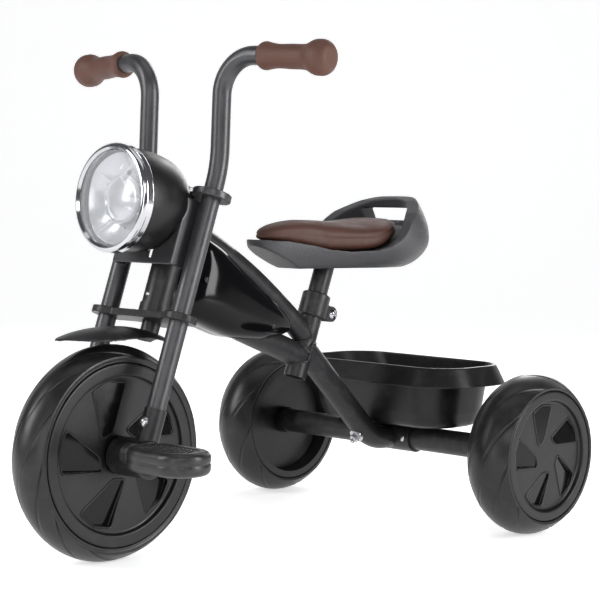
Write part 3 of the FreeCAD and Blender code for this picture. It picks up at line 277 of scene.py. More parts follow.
slot_of = {row["node"]: row["material_slot"] for row in frame["record"]["subparts"]}
for name, node in nodes.items():
    node.data.materials.clear()
    node.data.materials.append(materials[slot_of[name]])
    node.data.shade_smooth()
    crisp = node.modifiers.new("crisp", "EDGE_SPLIT")
    crisp.split_angle = math.radians(SMOOTH_EDGE_DEGREES)


# ------------------------------------------------------------------ helpers for pieces
def add_piece(name, mesh, body, slot, *replaced):
    """Put a finished mesh in the scene as a piece that rides on a body."""
    piece = bpy.data.objects.new(name, mesh)
    bpy.context.scene.collection.objects.link(piece)
    if not mesh.materials:
        mesh.materials.append(materials[slot])
    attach(piece, body)
    if replaced:
        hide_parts(*replaced)
    return piece


def mesh_from(name, points, faces):
    """A smooth mesh from points and faces, with doubled points joined and its normals outward."""
    mesh = bpy.data.meshes.new(name)
    mesh.from_pydata([tuple(p) for p in points], [], faces)
    builder = bmesh.new()
    builder.from_mesh(mesh)
    bmesh.ops.remove_doubles(builder, verts=builder.verts, dist=1e-6)
    bmesh.ops.recalc_face_normals(builder, faces=builder.faces)
    builder.to_mesh(mesh)
    builder.free()
    mesh.shade_smooth()
    return mesh


def with_modifiers(mesh, *modifiers):
    """The mesh after a stack of modifiers, each (kind, settings)."""
    holder = bpy.data.objects.new("holder", mesh)
    bpy.context.scene.collection.objects.link(holder)
    for kind, settings in modifiers:
        made = holder.modifiers.new(kind, kind)
        for key, value in settings.items():
            setattr(made, key, value)
    bpy.context.view_layer.update()
    result = bpy.data.meshes.new_from_object(holder.evaluated_get(bpy.context.evaluated_depsgraph_get()))
    bpy.data.objects.remove(holder)
    result.shade_smooth()
    return result


def rounded_copy(node, body, voxel, rounds):
    """The CAD node's own shape with every edge rounded over, as moulded and painted parts are."""
    mesh = nodes[node].data.copy()
    mesh.name = node + "_rounded"
    builder = bmesh.new()
    builder.from_mesh(mesh)
    bmesh.ops.remove_doubles(builder, verts=builder.verts, dist=1e-6)
    builder.to_mesh(mesh)
    builder.free()
    mesh = with_modifiers(mesh, ("REMESH", {"mode": "VOXEL", "voxel_size": voxel * MM, "adaptivity": 0.0}),
                          ("SMOOTH", {"factor": 0.5, "iterations": rounds}))
    mesh.materials.clear()
    add_piece(node + "_moulded", mesh, body, slot_of[node], node)


def ring_faces(rows, columns, closed_rows=False):
    """Quads joining rows of points, each row a closed ring of columns; closed_rows joins last to first."""
    faces = []
    for row in range(rows if closed_rows else rows - 1):
        following = (row + 1) % rows
        for column in range(columns):
            side = (column + 1) % columns
            faces.append((row * columns + column, row * columns + side,
                          following * columns + side, following * columns + column))
    return faces


def blend_curve(table, at):
    """A smooth value between the entries of a rising table of (position, value)."""
    places = [row[0] for row in table]
    values = [row[1] for row in table]
    at = min(max(at, places[0]), places[-1])
    index = max(i for i in range(len(places) - 1) if places[i] <= at or i == 0)
    low, high = places[index], places[index + 1]
    t = (at - low) / (high - low)
    before, after = max(index - 1, 0), min(index + 2, len(places) - 1)
    slope_low = (values[index + 1] - values[before]) / (places[index + 1] - places[before])
    slope_high = (values[after] - values[index]) / (places[after] - places[index])
    t2, t3 = t * t, t * t * t
    return ((2 * t3 - 3 * t2 + 1) * values[index] + (t3 - 2 * t2 + t) * slope_low * (high - low)
            + (3 * t2 - 2 * t3) * values[index + 1] + (t3 - t2) * slope_high * (high - low))


# ------------------------------------------------------------------ tyres
# Points of a tyre's section as (radius, distance from its middle plane), and its number of grooves.
FRONT_TYRE = dict(lip=(105.7, 26.2), wall=(108.5, 27.3), bead=(113.3, 27.5),
                  seat=98.3, seat_side=24.2, grooves=11)
REAR_TYRE = dict(lip=(81.8, 30.6), wall=(83.2, 32.0), bead=(85.5, 32.2),
                 seat=74.4, seat_side=28.0, grooves=9)
TYRE_STEPS = 620
TREAD_STEPS = 96
GROOVE_DEPTH = 1.25
GROOVE_WIDTH = 1.05
GROOVE_SWEEP = math.radians(44)
GROOVE_SPAN = (0.03, 0.97)
GROOVE_LEAN_LENGTH = 26.0
LIP_OFFSET = 5.0


def groove_cut(along, angle, sign, radius, shape):
    """Depth of the sweeping moulded grooves at a point: along runs 0 at the bead to 1 at the crown."""
    first, last = GROOVE_SPAN
    if along < first or along > last:
        return 0.0
    sweep = GROOVE_SWEEP * (1 - math.cos(math.pi * along / 2)) ** 0.8
    spacing = 2 * math.pi / shape["grooves"]
    offset = (sign * angle + sweep + (0.5 * spacing if sign < 0 else 0.0)) % spacing
    offset = min(offset, spacing - offset) * radius
    lean = GROOVE_SWEEP * radius * math.sin(math.pi * along / 2) * math.pi / 2
    slant = math.hypot(1.0, lean / GROOVE_LEAN_LENGTH)
    fade = min(1.0, (along - first) / 0.10) * min(1.0, (last - along) / 0.30)
    near = math.exp(-((offset / slant) / GROOVE_WIDTH) ** 2)
    second = math.exp(-((abs(offset - LIP_OFFSET) / slant) / GROOVE_WIDTH) ** 2)
    return fade * (GROOVE_DEPTH * near - 0.35 * second)


def make_tyre(node, body, shape):
    """A moulded tyre turned about its axle, with swept grooves from both beads to the crown."""
    low, high = (Vector(c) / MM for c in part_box(node))
    centre = (low + high) / 2
    crown = (high.z - low.z) / 2
    bead_r, bead_y = shape["bead"]
    lip_r, lip_y = shape["lip"]
    wall_r, wall_y = shape["wall"]
    half = [(shape["seat"], shape["seat_side"], None), (lip_r - 1.0, shape["seat_side"], None),
            (lip_r, lip_y - 1.2, None), (lip_r + 0.5, lip_y, None), (wall_r - 0.9, wall_y, None),
            (wall_r, wall_y - 0.8, None), (wall_r + 0.9, wall_y, None)]
    for step in range(TREAD_STEPS + 1):
        along = step / TREAD_STEPS
        side = bead_y * math.cos(along * math.pi / 2)
        rise = 1 - (side / bead_y) ** 2
        half.append((bead_r + (crown - bead_r) * rise, side, along))
    profile = [(r, y, a, 1) for r, y, a in half] + [(r, -y, a, -1) for r, y, a in reversed(half[:-1])]
    points = []
    for r, y, along, sign in profile:
        lean = 0.0 if along is None else math.cos(along * math.pi / 2) * 0.75
        for turn in range(TYRE_STEPS):
            angle = 2 * math.pi * turn / TYRE_STEPS
            cut = 0.0 if along is None else groove_cut(along, angle, sign, r, shape)
            radial = r - cut * math.sqrt(1 - lean * lean) if along is not None else r
            side = y - sign * cut * lean
            points.append(((centre.x + radial * math.cos(angle)) * MM, (centre.y + side) * MM,
                           (centre.z + radial * math.sin(angle)) * MM))
    mesh = mesh_from(node + "_tread", points, ring_faces(len(profile), TYRE_STEPS, True))
    add_piece(node + "_moulded", mesh, body, "tyre_foam", node)


# ------------------------------------------------------------------ cushion
# Distances are from the rear axle: half width, underside and top of the pad.
REAR_AXLE_X = -262.0
CUSHION_PLAN = [(29, 0), (32, 16), (46, 36), (58, 47), (72, 54), (86, 58.3), (98, 59.5), (112, 57.3),
                (130, 52.3), (150, 45.5), (165, 41), (200, 31.5), (233, 25), (250, 19), (259, 11), (265, 0)]
CUSHION_LOW = [(15, 383), (30, 378.5), (50, 371.5), (75, 362), (95, 355), (112, 352), (160, 352),
               (178, 354), (200, 358.5), (236, 364), (270, 367.5)]
CUSHION_HIGH = [(15, 386), (22, 390), (42, 393.3), (70, 392), (100, 389.3), (130, 388), (173, 389.5),
                (202, 390), (230, 387.3), (251, 381.5), (263, 376), (270, 370)]
CUSHION_MIDDLE = 147.0
CUSHION_HALF_LENGTH = 117.9
SLACK = 1.2
CLOTH_VOXEL = 4.0
CLOTH_PRESSURE = 1.6
CLOTH_CAP = 1.6
CLOTH_FRAMES = 20
SEAM_WIDTH = 1.5
SEAM_DEPTH = 1.3
SHELL_GAP = 0.2


def cushion_blank(draw_in):
    """The pad's closed form, a little slack, ready to be puffed up."""
    stations, sides = 56, 48
    points = []
    for station in range(stations):
        t = station / (stations - 1)
        distance = CUSHION_MIDDLE - CUSHION_HALF_LENGTH * math.cos(t * math.pi)
        half = max(blend_curve(CUSHION_PLAN, distance) - draw_in, 0.4)
        bottom = blend_curve(CUSHION_LOW, distance)
        top = blend_curve(CUSHION_HIGH, distance)
        edge = bottom + (top - bottom) * 0.42
        for side in range(sides):
            angle = 2 * math.pi * side / sides
            c, s = math.cos(angle), math.sin(angle)
            across = half * math.copysign(abs(c) ** 0.62, c)
            if s >= 0:
                height = edge + (top - draw_in * 0.5 - edge) * s ** 0.72
            else:
                height = edge - (edge - bottom) * abs(s) ** 0.34
            points.append(((REAR_AXLE_X + distance) * MM, across * MM, height * MM))
    faces = ring_faces(stations, sides)
    faces.append(tuple(range(sides)))
    faces.append(tuple(range((stations - 1) * sides, stations * sides)))
    return mesh_from("cushion_blank", points, faces)


def puffed(mesh, voxel, pressure, cap):
    """Fill a slack closed mesh with air as cloth, and keep every point within cap of where it was."""
    base = with_modifiers(mesh, ("REMESH", {"mode": "VOXEL", "voxel_size": voxel * MM}),
                          ("SMOOTH", {"factor": 0.5, "iterations": 3}))
    rest = [v.co.copy() for v in base.vertices]
    pad = bpy.data.objects.new("pad", base)
    bpy.context.scene.collection.objects.link(pad)
    cloth = pad.modifiers.new("cloth", "CLOTH")
    cloth.settings.use_pressure = True
    cloth.settings.uniform_pressure_force = pressure
    cloth.settings.effector_weights.gravity = 0.0
    cloth.settings.quality = 6
    scene = bpy.context.scene
    for step in range(1, CLOTH_FRAMES + 1):
        scene.frame_set(step)
    swollen = bpy.data.meshes.new_from_object(pad.evaluated_get(bpy.context.evaluated_depsgraph_get()))
    bpy.data.objects.remove(pad)
    scene.frame_set(1)
    for vertex, place in zip(swollen.vertices, rest):
        move = vertex.co - place
        if move.length > cap * MM:
            vertex.co = place + move.normalized() * cap * MM
    return swollen


def make_cushion():
    """The padded seat cover: puffed up, smoothed and pinched along its seam."""
    blank = cushion_blank(SLACK)
    mesh = puffed(blank, CLOTH_VOXEL, CLOTH_PRESSURE, CLOTH_CAP)
    mesh = with_modifiers(mesh, ("SMOOTH", {"factor": 0.5, "iterations": 6}),
                          ("SUBSURF", {"levels": 1, "render_levels": 1}))
    for vertex in mesh.vertices:
        distance = vertex.co.x / MM - REAR_AXLE_X
        bottom = blend_curve(CUSHION_LOW, distance)
        top = blend_curve(CUSHION_HIGH, distance)
        seam = bottom + (top - bottom) * 0.52
        height = vertex.co.z / MM
        pinch = math.exp(-((height - seam) / SEAM_WIDTH) ** 2)
        normal = Vector((vertex.normal.x, vertex.normal.y, 0.0))
        if normal.length > 0.25:
            vertex.co -= normal.normalized() * pinch * SEAM_DEPTH * MM
        if height < bottom + SHELL_GAP:
            vertex.co.z = (bottom + SHELL_GAP) * MM
    mesh.materials.clear()
    pad = add_piece("seat_pad", mesh, "seat", "seat_leather", "seat_cushion")


# ------------------------------------------------------------------ headlight
LAMP_MIDDLE = Vector((236.0, 0.0, 417.5))
LAMP_TILT = math.radians(5.0)
LAMP_BACK = Vector((-math.cos(LAMP_TILT), 0.0, -math.sin(LAMP_TILT)))
LAMP_UP = Vector((-math.sin(LAMP_TILT), 0.0, math.cos(LAMP_TILT)))
LAMP_SIDE = Vector((0.0, 1.0, 0.0))
BOWL_RIM = 53.0
BOWL_THICK = 1.2
COVER_RIM = 55.3
COVER_THICK = 1.6
BOSS_COUNT = 6
BOSS_RING = 33.0
BOSS_RADIUS = 2.9
BOSS_HEIGHT = 4.4
# The projector's turned outline as (radius, distance behind the lamp's middle).
PROJECTOR = [(29.0, 30.0), (29.0, 16.0), (28.0, 14.8), (26.8, 15.2), (25.8, 18.5), (23.0, 17.0),
             (17.0, 14.6), (9.0, 13.0), (0.05, 12.5)]
PROJECTOR_TURNS = 96


def lamp_place(radius, angle, behind):
    """A point of the lamp, from its radius, its angle and its distance behind the lamp's middle."""
    spoke = LAMP_SIDE * math.cos(angle) + LAMP_UP * math.sin(angle)
    place = LAMP_MIDDLE + LAMP_BACK * behind + spoke * radius
    return place * MM


def polar_sheet(name, depth_at, rim, thick, rings=70, turns=240):
    """A round sheet of a given depth at each radius and angle, with a thickness."""
    points = []
    for layer in (0.0, thick):
        for ring in range(rings):
            radius = rim * (ring + 0.02) / (rings - 0.98)
            for turn in range(turns):
                angle = 2 * math.pi * turn / turns
                points.append(lamp_place(radius, angle, depth_at(radius, angle) + layer))
    faces = ring_faces(rings, turns)
    faces += [tuple(i + rings * turns for i in face) for face in ring_faces(rings, turns)]
    for turn in range(turns):
        side = (turn + 1) % turns
        outer = (rings - 1) * turns
        back = outer + rings * turns
        faces.append((outer + turn, outer + side, back + side, back + turn))
    for layer in (0, rings * turns):
        faces.append(tuple(range(layer, layer + turns)))
    return mesh_from(name, points, faces)


def bowl_depth(radius, angle):
    """A reflector of four hollowed petals that meet in an X."""
    t = radius / BOWL_RIM
    petal = abs(math.sin(2 * (angle + math.radians(38)))) ** 0.6
    return 9.5 + 19.0 * (1 - t * t) + 9.0 * petal * t * (1.25 - t)


def lens_depth(radius, angle):
    """The cover's bulged front, with faint flutes and two moulded rings."""
    t = radius / 55.0
    front = -3.4 + 5.6 * t * t
    ripple = 0.16 * math.cos(24 * angle) * max(0.0, 1 - abs(t - 0.72) / 0.22)
    ring = 0.5 * math.exp(-((radius - 29.0) / 1.1) ** 2) + 0.5 * math.exp(-((radius - 50.5) / 0.9) ** 2)
    return front + ripple - ring * 0.8


def dome_mesh(builder, radius, height, place, axis, segments=20, rings=7):
    """A small domed stud standing on a place along an axis."""
    turn = Vector((0, 0, 1)).rotation_difference(axis).to_matrix()
    rows = []
    for ring in range(rings):
        tilt = math.pi / 2 * ring / rings
        rows.append([builder.verts.new(place + turn @ (Vector((
            radius * math.cos(tilt) * math.cos(2 * math.pi * s / segments),
            radius * math.cos(tilt) * math.sin(2 * math.pi * s / segments),
            height * math.sin(tilt))) * MM)) for s in range(segments)])
    tip = builder.verts.new(place + axis * height * MM)
    for low, high in zip(rows, rows[1:]):
        for s in range(segments):
            builder.faces.new((low[s], low[(s + 1) % segments], high[(s + 1) % segments], high[s]))
    for s in range(segments):
        builder.faces.new((rows[-1][s], rows[-1][(s + 1) % segments], tip))
    builder.faces.new(rows[0][::-1])


def finish_builder(builder, name):
    """The builder's faces as a smooth mesh."""
    mesh = bpy.data.meshes.new(name)
    bmesh.ops.recalc_face_normals(builder, faces=builder.faces)
    builder.to_mesh(mesh)
    builder.free()
    mesh.shade_smooth()
    return mesh


def make_lamp():
    """The petalled bowl, its clear cover, the bosses and the projector in the middle."""
    bowl = polar_sheet("lamp_bowl", bowl_depth, BOWL_RIM, BOWL_THICK)
    add_piece("lamp_bowl", bowl, "fork", "reflector", "lamp_reflector")
    cover = polar_sheet("lamp_cover", lens_depth, COVER_RIM, COVER_THICK)
    add_piece("lamp_cover", cover, "fork", "clear_lens", "lamp_lens")
    builder = bmesh.new()
    for index in range(BOSS_COUNT):
        angle = math.radians(60 * index + 30)
        foot = lamp_place(BOSS_RING, angle, bowl_depth(BOSS_RING, angle) - 0.2)
        dome_mesh(builder, BOSS_RADIUS, BOSS_HEIGHT, foot, -LAMP_BACK)
    add_piece("lamp_bosses", finish_builder(builder, "lamp_bosses"), "fork", "reflector")
    points = [lamp_place(r, 2 * math.pi * turn / PROJECTOR_TURNS, behind)
              for r, behind in PROJECTOR for turn in range(PROJECTOR_TURNS)]
    faces = ring_faces(len(PROJECTOR), PROJECTOR_TURNS)
    faces.append(tuple(range(PROJECTOR_TURNS)))
    mesh = mesh_from("lamp_projector", points, faces)
    mesh = with_modifiers(mesh, ("SUBSURF", {"levels": 1, "render_levels": 1}))
    add_piece("lamp_projector", mesh, "fork", "reflector", "lamp_bulb")


# ------------------------------------------------------------------ pedals and studs
STUD_RADIUS = 1.5
STUD_HEIGHT = 1.25
STUD_ROW_GAP = 6.2
STUD_GAP = 6.4
STUD_FIELD = 33.0
PEDAL_RING_HALF_LONG = 41.5
PEDAL_RING_HALF_WIDE = 22.5
PEDAL_RING_STEPS = 160
PEDAL_RING_TUBE = 0.9


def make_pedal_studs(side_name):
    """Rows of raised grip dots inside a raised ring, on both faces of a pedal."""
    low, high = (Vector(c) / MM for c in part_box("pedal_" + side_name))
    centre = (low + high) / 2
    half_height = (high.z - low.z) / 2
    builder = bmesh.new()
    for face in (1, -1):
        level = centre.z + face * (half_height - STUD_HEIGHT)
        for row in range(-2, 3):
            for column in range(-5, 6):
                across = row * STUD_ROW_GAP
                along = column * STUD_GAP + (STUD_GAP / 2 if row % 2 else 0.0)
                if abs(along) + abs(across) * 0.4 > STUD_FIELD:
                    continue
                place = Vector((centre.x + across, centre.y + along, level)) * MM
                dome_mesh(builder, STUD_RADIUS, STUD_HEIGHT, place, Vector((0, 0, face)), 14, 4)
    studs = finish_builder(builder, "studs")
    add_piece("pedal_studs_" + side_name, studs, "pedal_" + side_name, "pedal_plastic")
    straight = PEDAL_RING_HALF_LONG - PEDAL_RING_HALF_WIDE
    rounds = []
    for step in range(PEDAL_RING_STEPS):
        angle = 2 * math.pi * step / PEDAL_RING_STEPS
        end = math.sin(angle) if abs(math.sin(angle)) > 1e-9 else 1
        rounds.append((PEDAL_RING_HALF_WIDE * math.cos(angle),
                       PEDAL_RING_HALF_WIDE * math.sin(angle) + math.copysign(straight, end)))
    points, faces = [], []
    tube = 8
    for face in (1, -1):
        level = centre.z + face * (half_height - 1.0)
        start = len(points)
        for x, y in rounds:
            outward = Vector((x, y - math.copysign(min(abs(y), straight), y), 0.0))
            outward = outward.normalized() if outward.length > 1e-6 else Vector((1, 0, 0))
            for k in range(tube):
                angle = 2 * math.pi * k / tube
                spot = (Vector((centre.x + x, centre.y + y, level))
                        + outward * PEDAL_RING_TUBE * math.cos(angle)
                        + Vector((0, 0, PEDAL_RING_TUBE * math.sin(angle))))
                points.append(spot * MM)
        faces += [tuple(i + start for i in quad) for quad in ring_faces(PEDAL_RING_STEPS, tube, True)]
    mesh = mesh_from("ring", points, faces)
    add_piece("pedal_ring_" + side_name, mesh, "pedal_" + side_name, "pedal_plastic")


# ------------------------------------------------------------------ wheel pockets
POCKET_COUNT = 5
POCKET_SLOPE = 0.155
BEAD_RADIUS = 1.25
FRONT_POCKETS = dict(recess=90.0, face=22.0)
REAR_POCKETS = dict(recess=68.0, face=25.5)


def pocket_corners(shape):
    """A pocket's outline on the wheel's face, flush from the first corner to the last."""
    outer, inner = shape["recess"] * 0.93, shape["recess"] * 0.31
    polar = [(outer, 97.0), (outer * 1.035, 79.5), (outer, 62.0), (inner * 1.08, 37.0), (inner, 72.0)]
    return [Vector((r * math.cos(math.radians(a)), r * math.sin(math.radians(a)))) for r, a in polar]


def rounded_loop(corners, cut, steps=7):
    """A closed outline with each corner turned over."""
    loop = []
    for index, corner in enumerate(corners):
        before, after = corners[index - 1], corners[(index + 1) % len(corners)]
        start = corner + (before - corner).normalized() * cut
        end = corner + (after - corner).normalized() * cut
        for step in range(steps):
            t = step / (steps - 1)
            loop.append(start * (1 - t) ** 2 + corner * 2 * t * (1 - t) + end * t * t)
    return loop


def make_pockets(name, rim, body, shape, side):
    """Raised beads round every pocket, and the smooth floor inside each, glossy and darker than the wheel as
    painted shade in the recess.
    """
    low, high = (Vector(c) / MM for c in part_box(rim))
    centre = Vector(((low.x + high.x) / 2, shape["plane"], (low.z + high.z) / 2))
    corners = pocket_corners(shape)
    along = (corners[4] - corners[0]).normalized()

    def depth(spot):
        """The sloping floor's depth, from nothing along the pocket's flush edge."""
        offset = spot - corners[0]
        return POCKET_SLOPE * (offset - along * offset.dot(along)).length

    def place(spot, lift):
        return (centre + Vector((spot.x, side * (shape["face"] + lift), spot.y))) * MM

    middle = sum(corners, Vector((0.0, 0.0))) / len(corners)
    bead_points, bead_faces, floor_points, floor_faces = [], [], [], []
    outline = rounded_loop(corners, 5.0)
    tube = 10
    for index in range(POCKET_COUNT):
        turn = Matrix.Rotation(math.radians(360.0 / POCKET_COUNT * index), 2)
        start = len(bead_points)
        for number, spot in enumerate(outline):
            following = outline[(number + 1) % len(outline)] - outline[number - 1]
            outward = Vector((following.y, -following.x)).normalized()
            for k in range(tube):
                angle = 2 * math.pi * k / tube
                shifted = spot + outward * (BEAD_RADIUS * math.cos(angle))
                bead_points.append(place(turn @ shifted, BEAD_RADIUS * 0.75 * math.sin(angle)))
        bead_faces += [tuple(i + start for i in face) for face in ring_faces(len(outline), tube, True)]
        start = len(floor_points)
        inside = [middle + (spot - middle) * 0.93 for spot in outline]
        for thick in (0.25, -0.15):
            floor_points += [place(turn @ spot, thick - depth(spot)) for spot in inside]
        count = len(inside)
        floor_faces.append(tuple(range(start, start + count)))
        floor_faces.append(tuple(range(start + 2 * count - 1, start + count - 1, -1)))
        floor_faces += [tuple(i + start for i in face) for face in ring_faces(2, count)]
    beads = mesh_from(name + "_beads", bead_points, bead_faces)
    add_piece(name + "_beads", beads, body, "wheel_plastic")
    floors = mesh_from(name + "_floors", floor_points, floor_faces)
    # Painted shade: the floors take the darker glossy material, darker than the wheel to stand in for the
    # shade of the recess.
    floors.materials.append(materials["wheel_gloss_painted_shade"])
    floors.shade_flat()
    add_piece(name + "_floors", floors, body, "wheel_plastic")


# ------------------------------------------------------------------ tank
# Front to back: bottom and top as (distance from the rear axle, height), and half width.
TANK_STATIONS = [((404, 281), (371, 377), 24.0), ((398, 278.6), (366, 374), 28.5),
                 ((388, 274), (358, 369), 32.5), ((368, 266), (342, 359.5), 35.0),
                 ((344, 256.5), (324, 346), 35.4), ((320, 249), (306, 332), 34.5),
                 ((282, 244.5), (276, 309.5), 31.5), ((262, 244.6), (261, 299), 29.3),
                 ((246, 246), (247, 289), 26.5), ((232, 248.5), (234, 278.5), 23.0),
                 ((223, 251.5), (225, 270), 19.5), ((219.5, 256), (221.5, 264), 13.0)]
TANK_ROWS = 110
TANK_COLUMNS = 60
TANK_GAP = 0.25


def make_tank_half(name, side):
    """Half of the glossy shell: full rounded sections, its front corner turned in."""
    last = len(TANK_STATIONS) - 1
    flat_rows = [(*bottom, *top, half) for bottom, top, half in TANK_STATIONS]
    tables = [list(enumerate(column)) for column in zip(*flat_rows)]
    points = []
    for row in range(TANK_ROWS):
        at = last * row / (TANK_ROWS - 1)
        low_x, low_z, high_x, high_z, half = (blend_curve(table, at) for table in tables)
        for column in range(TANK_COLUMNS):
            angle = math.pi * (column / (TANK_COLUMNS - 1) - 0.5)
            across = abs(math.cos(angle)) ** (2 / 3.4)
            rise = 0.5 + 0.5 * math.copysign(abs(math.sin(angle)) ** (2 / 3.6), angle)
            points.append(((REAR_AXLE_X + low_x + (high_x - low_x) * rise) * MM,
                           side * (TANK_GAP + (half - TANK_GAP) * across) * MM,
                           (low_z + (high_z - low_z) * rise) * MM))
    faces = ring_faces(TANK_ROWS, TANK_COLUMNS)
    faces.append(tuple(range(TANK_COLUMNS)))
    faces.append(tuple(range((TANK_ROWS - 1) * TANK_COLUMNS, TANK_ROWS * TANK_COLUMNS)))
    mesh = with_modifiers(mesh_from(name, points, faces),
                          ("BEVEL", {"width": 0.0025, "segments": 4, "limit_method": "ANGLE",
                                     "angle_limit": math.radians(50)}))
    mesh.materials.clear()
    add_piece(name + "_moulded", mesh, "frame", "tank_plastic", name)


# ------------------------------------------------------------------ weld beads
SEAT_TUBE_FOOT = Vector((-66.5, 0.0, 192.0))
SEAT_TUBE_WAY = Vector((-math.sin(math.radians(20.6)), 0.0, math.cos(math.radians(20.6))))
SEAT_TUBE_RADIUS = 14.3
# A point on each joining tube, its slope in degrees, which way it runs, and its radius.
JOINING_TUBES = [((-84.0, 242.0), 40.5, -1, 14.0), ((-74.0, 218.7), 20.9, -1, 15.5),
                 ((-78.0, 232.0), 44.5, 1, 15.5)]


def weld_path(spot, slope, way, radius, steps=84):
    """Where a tube's outside meets the seat tube's, all the way round."""
    run = Vector((way * math.cos(math.radians(slope)), 0.0, way * math.sin(math.radians(slope))))
    across = Vector((0.0, 1.0, 0.0))
    up = run.cross(across)
    flat_run = run - SEAT_TUBE_WAY * run.dot(SEAT_TUBE_WAY)
    path = []
    for step in range(steps):
        angle = 2 * math.pi * step / steps
        round_tube = (across * math.cos(angle) + up * math.sin(angle)) * radius
        place = Vector((spot[0], 0.0, spot[1])) - run * 60 + round_tube
        offset = place - SEAT_TUBE_FOOT
        flat = offset - SEAT_TUBE_WAY * offset.dot(SEAT_TUBE_WAY)
        outside = flat.length_squared - SEAT_TUBE_RADIUS ** 2
        inside = flat.dot(flat_run) ** 2 - flat_run.length_squared * outside
        travel = (-flat.dot(flat_run) - math.sqrt(max(inside, 0.0))) / flat_run.length_squared
        path.append(place + run * travel)
    return path


def make_welds():
    """Rippled beads where the frame's tubes are welded to the seat tube."""
    points, faces = [], []
    tube = 9
    for spot, slope, way, radius in JOINING_TUBES:
        path = weld_path(spot, slope, way, radius)
        start = len(points)
        for number, place in enumerate(path):
            following = (path[(number + 1) % len(path)] - path[number - 1]).normalized()
            outward = Vector((0.0, 1.0, 0.0)).cross(following)
            outward = outward.normalized() if outward.length > 0.1 else Vector((0.0, 0.0, 1.0))
            second = following.cross(outward)
            thick = 1.7 + 0.55 * abs(math.sin(number * math.pi / 4))
            for k in range(tube):
                angle = 2 * math.pi * k / tube
                points.append((place + (outward * math.cos(angle) + second * math.sin(angle)) * thick) * MM)
        faces += [tuple(i + start for i in face) for face in ring_faces(len(path), tube, True)]
    mesh = mesh_from("welds", points, faces)
    mesh = with_modifiers(mesh, ("SUBSURF", {"levels": 1, "render_levels": 1}))
    mesh.materials.clear()
    add_piece("frame_welds", mesh, "frame", "graphite_metallic_paint")


# ------------------------------------------------------------------ build every piece
make_welds()
make_tyre("front_tyre", "front_wheel", FRONT_TYRE)
make_tyre("rear_tyre_left", "rear_wheel_left", REAR_TYRE)
make_tyre("rear_tyre_right", "rear_wheel_right", REAR_TYRE)
make_cushion()
make_lamp()
for side_name, sign in (("left", 1), ("right", -1)):
    make_pedal_studs(side_name)
    rounded_copy("pedal_" + side_name, "pedal_" + side_name, 1.1, 3)
    make_tank_half("tank_" + side_name, sign)
    make_pockets("front_pockets_" + side_name, "front_rim_" + side_name, "front_wheel",
                 dict(FRONT_POCKETS, plane=0.0), sign)
    make_pockets("rear_pockets_" + side_name, "rear_rim_outer_" + side_name, "rear_wheel_" + side_name,
                 dict(REAR_POCKETS, plane=sign * 225.5), sign)
    rounded_copy("front_rim_" + side_name, "front_wheel", 1.0, 3)
    rounded_copy("rear_rim_outer_" + side_name, "rear_wheel_" + side_name, 1.0, 3)
    rounded_copy("crank_" + side_name, "front_wheel", 0.9, 3)
# Node, body, voxel size in mm and rounds of smoothing.
for rounded_part in (("seat_shell", "seat", 1.3, 7), ("front_fender", "fork", 0.9, 3),
                     ("basket", "frame", 1.2, 3), ("upper_clamp_plate", "fork", 0.8, 3),
                     ("lower_clamp_plate", "fork", 0.8, 3), ("lamp_bracket", "fork", 0.9, 2)):
    rounded_copy(*rounded_part)


# ------------------------------------------------------------------ stage
BACKDROP_START = 3.0
BACKDROP_DEPTH = 2.5
BACKDROP_HEIGHT = 5.5
BACKDROP_GLOW = 0.55
FLOOR_STEPS = 20


def make_stage():
    """A white floor that sweeps up behind the part, away from the camera."""
    mesh = bpy.data.meshes.new("floor")
    builder = bmesh.new()
    rows = []
    heading = Vector((-1.0, -0.985, 0.0)).normalized()
    across = Vector((-heading.y, heading.x, 0.0))
    for step in range(2 * FLOOR_STEPS + 1):
        if step < FLOOR_STEPS:
            away, up = BACKDROP_START * (2 * step / FLOOR_STEPS - 1), 0.0
        else:
            turn = (step - FLOOR_STEPS) / FLOOR_STEPS * math.pi / 2
            away = BACKDROP_START + BACKDROP_DEPTH * math.sin(turn)
            up = BACKDROP_HEIGHT * (1 - math.cos(turn))
        spot = heading * away + Vector((0, 0, up))
        rows.append([builder.verts.new(spot + across * side) for side in (-6, 6)])
    for low, high in zip(rows, rows[1:]):
        builder.faces.new((low[0], low[1], high[1], high[0]))
    builder.to_mesh(mesh)
    builder.free()
    mesh.shade_smooth()
    floor = bpy.data.objects.new("floor", mesh)
    bpy.context.scene.collection.objects.link(floor)
    g = Graph("floor_paper")
    g.set(Base_Color=(0.93, 0.93, 0.93), Roughness=0.8, Emission_Color=(1.0, 1.0, 1.0))
    g.shader.inputs["Emission Strength"].default_value = BACKDROP_GLOW
    mesh.materials.append(g.material)


def area_light(name, place, target, size, power, size_y=None):
    """A rectangular soft light."""
    data = bpy.data.lights.new(name, "AREA")
    data.shape = "RECTANGLE"
    data.size = size
    data.size_y = size_y or size
    data.energy = power
    lamp = bpy.data.objects.new(name, data)
    lamp.location = place
    lamp.rotation_mode = "QUATERNION"
    lamp.rotation_quaternion = (Vector(target) - Vector(place)).to_track_quat("-Z", "Y")
    bpy.context.scene.collection.objects.link(lamp)


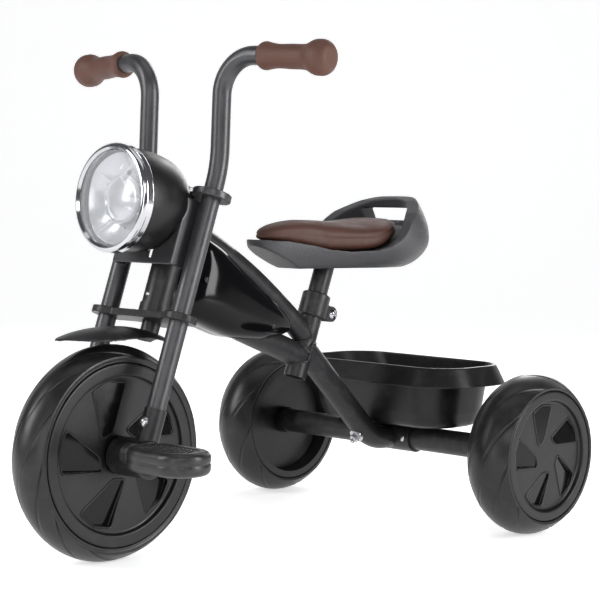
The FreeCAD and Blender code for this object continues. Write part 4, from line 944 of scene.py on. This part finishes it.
make_stage()
world = bpy.data.worlds.new("studio")
world.use_nodes = True
sky = world.node_tree.nodes["Background"].inputs
sky["Color"].default_value = (0.93, 0.95, 1.0, 1.0)
sky["Strength"].default_value = 0.14
bpy.context.scene.world = world
# Name, place, what it points at, width in m, power in W and, where it isn't square, height in m.
area_light("key", (1.9, -0.9, 1.3), (0.1, 0.0, 0.3), 0.7, 30.0, 1.5)
area_light("strip", (2.15, 0.95, 0.75), (0.1, 0.0, 0.3), 0.42, 10.0, 1.5)
area_light("side", (-0.9, 2.3, 0.95), (0.0, 0.0, 0.3), 0.6, 46.0, 1.6)
area_light("front", (1.9, 2.6, 1.7), (0.0, 0.0, 0.3), 0.9, 16.0)
area_light("top", (-0.1, 0.2, 2.6), (0.0, 0.0, 0.2), 1.8, 10.0)
area_light("rim", (-2.0, -0.9, 1.2), (0.0, 0.0, 0.3), 0.7, 16.0, 1.4)


# ------------------------------------------------------------------ camera
LENS_MM = 108.21
CAMERA_PLACE = (1.547925, 1.597694, 0.431066)
CAMERA_YAW = math.radians(-135.444)
CAMERA_PITCH = math.radians(3.5586)
CAMERA_ROLL = math.radians(0.6919)


def make_camera():
    """The camera that the photograph's view was solved for."""
    forward = Vector((math.cos(CAMERA_PITCH) * math.cos(CAMERA_YAW),
                      math.cos(CAMERA_PITCH) * math.sin(CAMERA_YAW), -math.sin(CAMERA_PITCH)))
    level = forward.cross(Vector((0, 0, 1))).normalized()
    above = level.cross(forward)
    right = level * math.cos(CAMERA_ROLL) + above * math.sin(CAMERA_ROLL)
    up = above * math.cos(CAMERA_ROLL) - level * math.sin(CAMERA_ROLL)
    data = bpy.data.cameras.new("camera")
    data.lens = LENS_MM
    data.sensor_width = 36.0
    data.clip_start, data.clip_end = 0.05, 50.0
    camera = bpy.data.objects.new("camera", data)
    turn = Matrix((right, up, -forward)).transposed().to_4x4()
    camera.matrix_world = Matrix.Translation(CAMERA_PLACE) @ turn
    bpy.context.scene.collection.objects.link(camera)
    bpy.context.scene.camera = camera


make_camera()
bpy.context.scene.view_settings.view_transform = "Standard"
